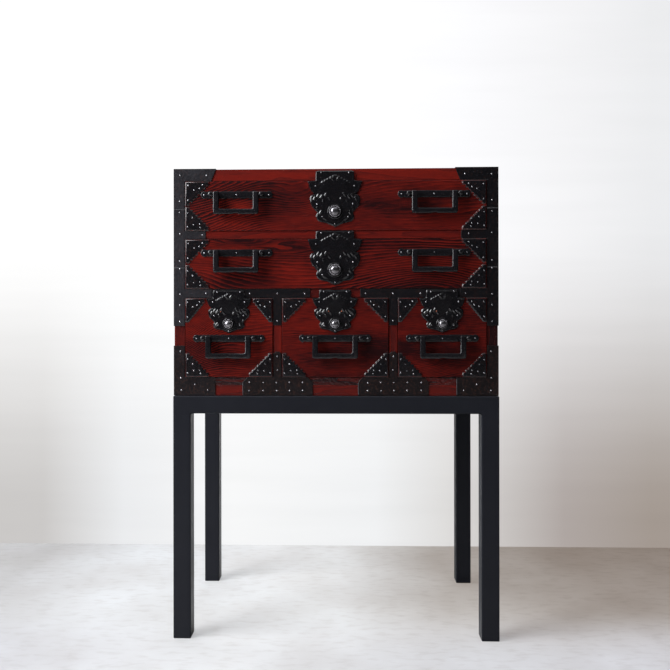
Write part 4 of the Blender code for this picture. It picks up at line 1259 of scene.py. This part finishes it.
def rolled(place):
    """Faint level marks of the roller."""
    marks = noise(stretched(place, (6, 1, 0.6)), 9.0, 4.0)
    return colour_between(marks * 2 - 0.8, (1, 1, 1, 1), (0.955, 0.955, 0.955, 1))


wall_finish = surface_finish("wall_finish", {}, wall_pattern)
# Painted light and shade: the wall is palest left of the middle and dims to the right and toward the floor.
wall_head_light_and_shade = [
    (0.5, (1.05, 1.05, 1.05, 1)), (0.66, (1.0, 1.0, 1.02, 1)), (0.8, (0.92, 0.92, 0.935, 1)),
    (0.915, (0.85, 0.855, 0.87, 1)),
]
wall_foot_light_and_shade = [
    (0.1, (0.6, 0.585, 0.575, 1)), (0.21, (0.84, 0.85, 0.865, 1)), (0.36, (0.94, 0.945, 0.95, 1)),
    (0.55, (0.88, 0.89, 0.9, 1)), (0.64, (0.74, 0.73, 0.72, 1)), (0.8, (0.43, 0.385, 0.365, 1)),
    (0.915, (0.37, 0.32, 0.285, 1)),
]
wall_own_share = 1.0
backdrop(wall_finish, wall_own_share, wall_head_light_and_shade, wall_foot_light_and_shade, toward_floor, rolled)
wall_top = 4.0
wall_corners = [
    (-reach, wall_y, 0), (reach, wall_y, 0), (reach, wall_y, wall_top), (-reach, wall_y, wall_top),
]
flat_stage("wall", wall_corners, wall_finish)

# Light: a tall window close on the left, a little in front of the chest, and a soft light overhead. The
# rest of the room is dim, but pale where the camera looks past the wall and the floor.
world = bpy.data.worlds.new("room_light")
world.use_nodes = True
tree = world.node_tree
dim = tree.nodes["Background"]
dim.inputs["Color"].default_value = (0.95, 0.97, 1.0, 1)
dim.inputs["Strength"].default_value = 0.045
air = Wire(tree)
pale = air.node("ShaderNodeBackground", {}, {"Color": (0.9, 0.9, 0.9, 1), "Strength": 1.0})
seen = air.node("ShaderNodeLightPath", {}, {}, "Is Camera Ray")
either = air.node("ShaderNodeMixShader", {}, {0: seen, 1: Wire(tree, dim.outputs[0]), 2: pale})
tree.links.new(either.output, tree.nodes["World Output"].inputs["Surface"])
bpy.context.scene.world = world


def window(name, place, aim, width, height, power, colour):
    """A rectangle of even light at place, facing aim."""
    lamp = bpy.data.lights.new(name, "AREA")
    lamp.shape = "RECTANGLE"
    lamp.size, lamp.size_y = width, height
    lamp.energy = power
    lamp.color = colour
    made = bpy.data.objects.new(name, lamp)
    made.location = place
    made.rotation_euler = (Vector(aim) - Vector(place)).to_track_quat("-Z", "Y").to_euler()
    bpy.context.scene.collection.objects.link(made)


daylight = (0.955, 0.975, 1.0)
window("left_window", (-1.7, -0.9, 1.68), (0, -0.1, 0.65), 1.3, 1.8, 80, daylight)
window("overhead", (0.1, -0.7, 2.6), (0.1, -0.3, 0), 2.2, 2.2, 12, daylight)

# Camera: level, at the height of the lower drawers, a little to the right of the chest's middle. It is
# turned and its lens shifted as the photograph was framed.
camera_data = bpy.data.cameras.new("camera")
camera_data.sensor_width = 36
camera_data.lens = 39.9
camera_data.shift_x = 0.01667
camera_data.shift_y = -0.01034
camera = bpy.data.objects.new("camera", camera_data)
camera.location = (0.0175, -1.557, 0.5833)
camera.rotation_euler = (np.pi / 2, 0.0011, 0.0279)
bpy.context.scene.collection.objects.link(camera)
bpy.context.scene.camera = camera
bpy.context.scene.view_settings.view_transform = "Standard"

low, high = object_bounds()
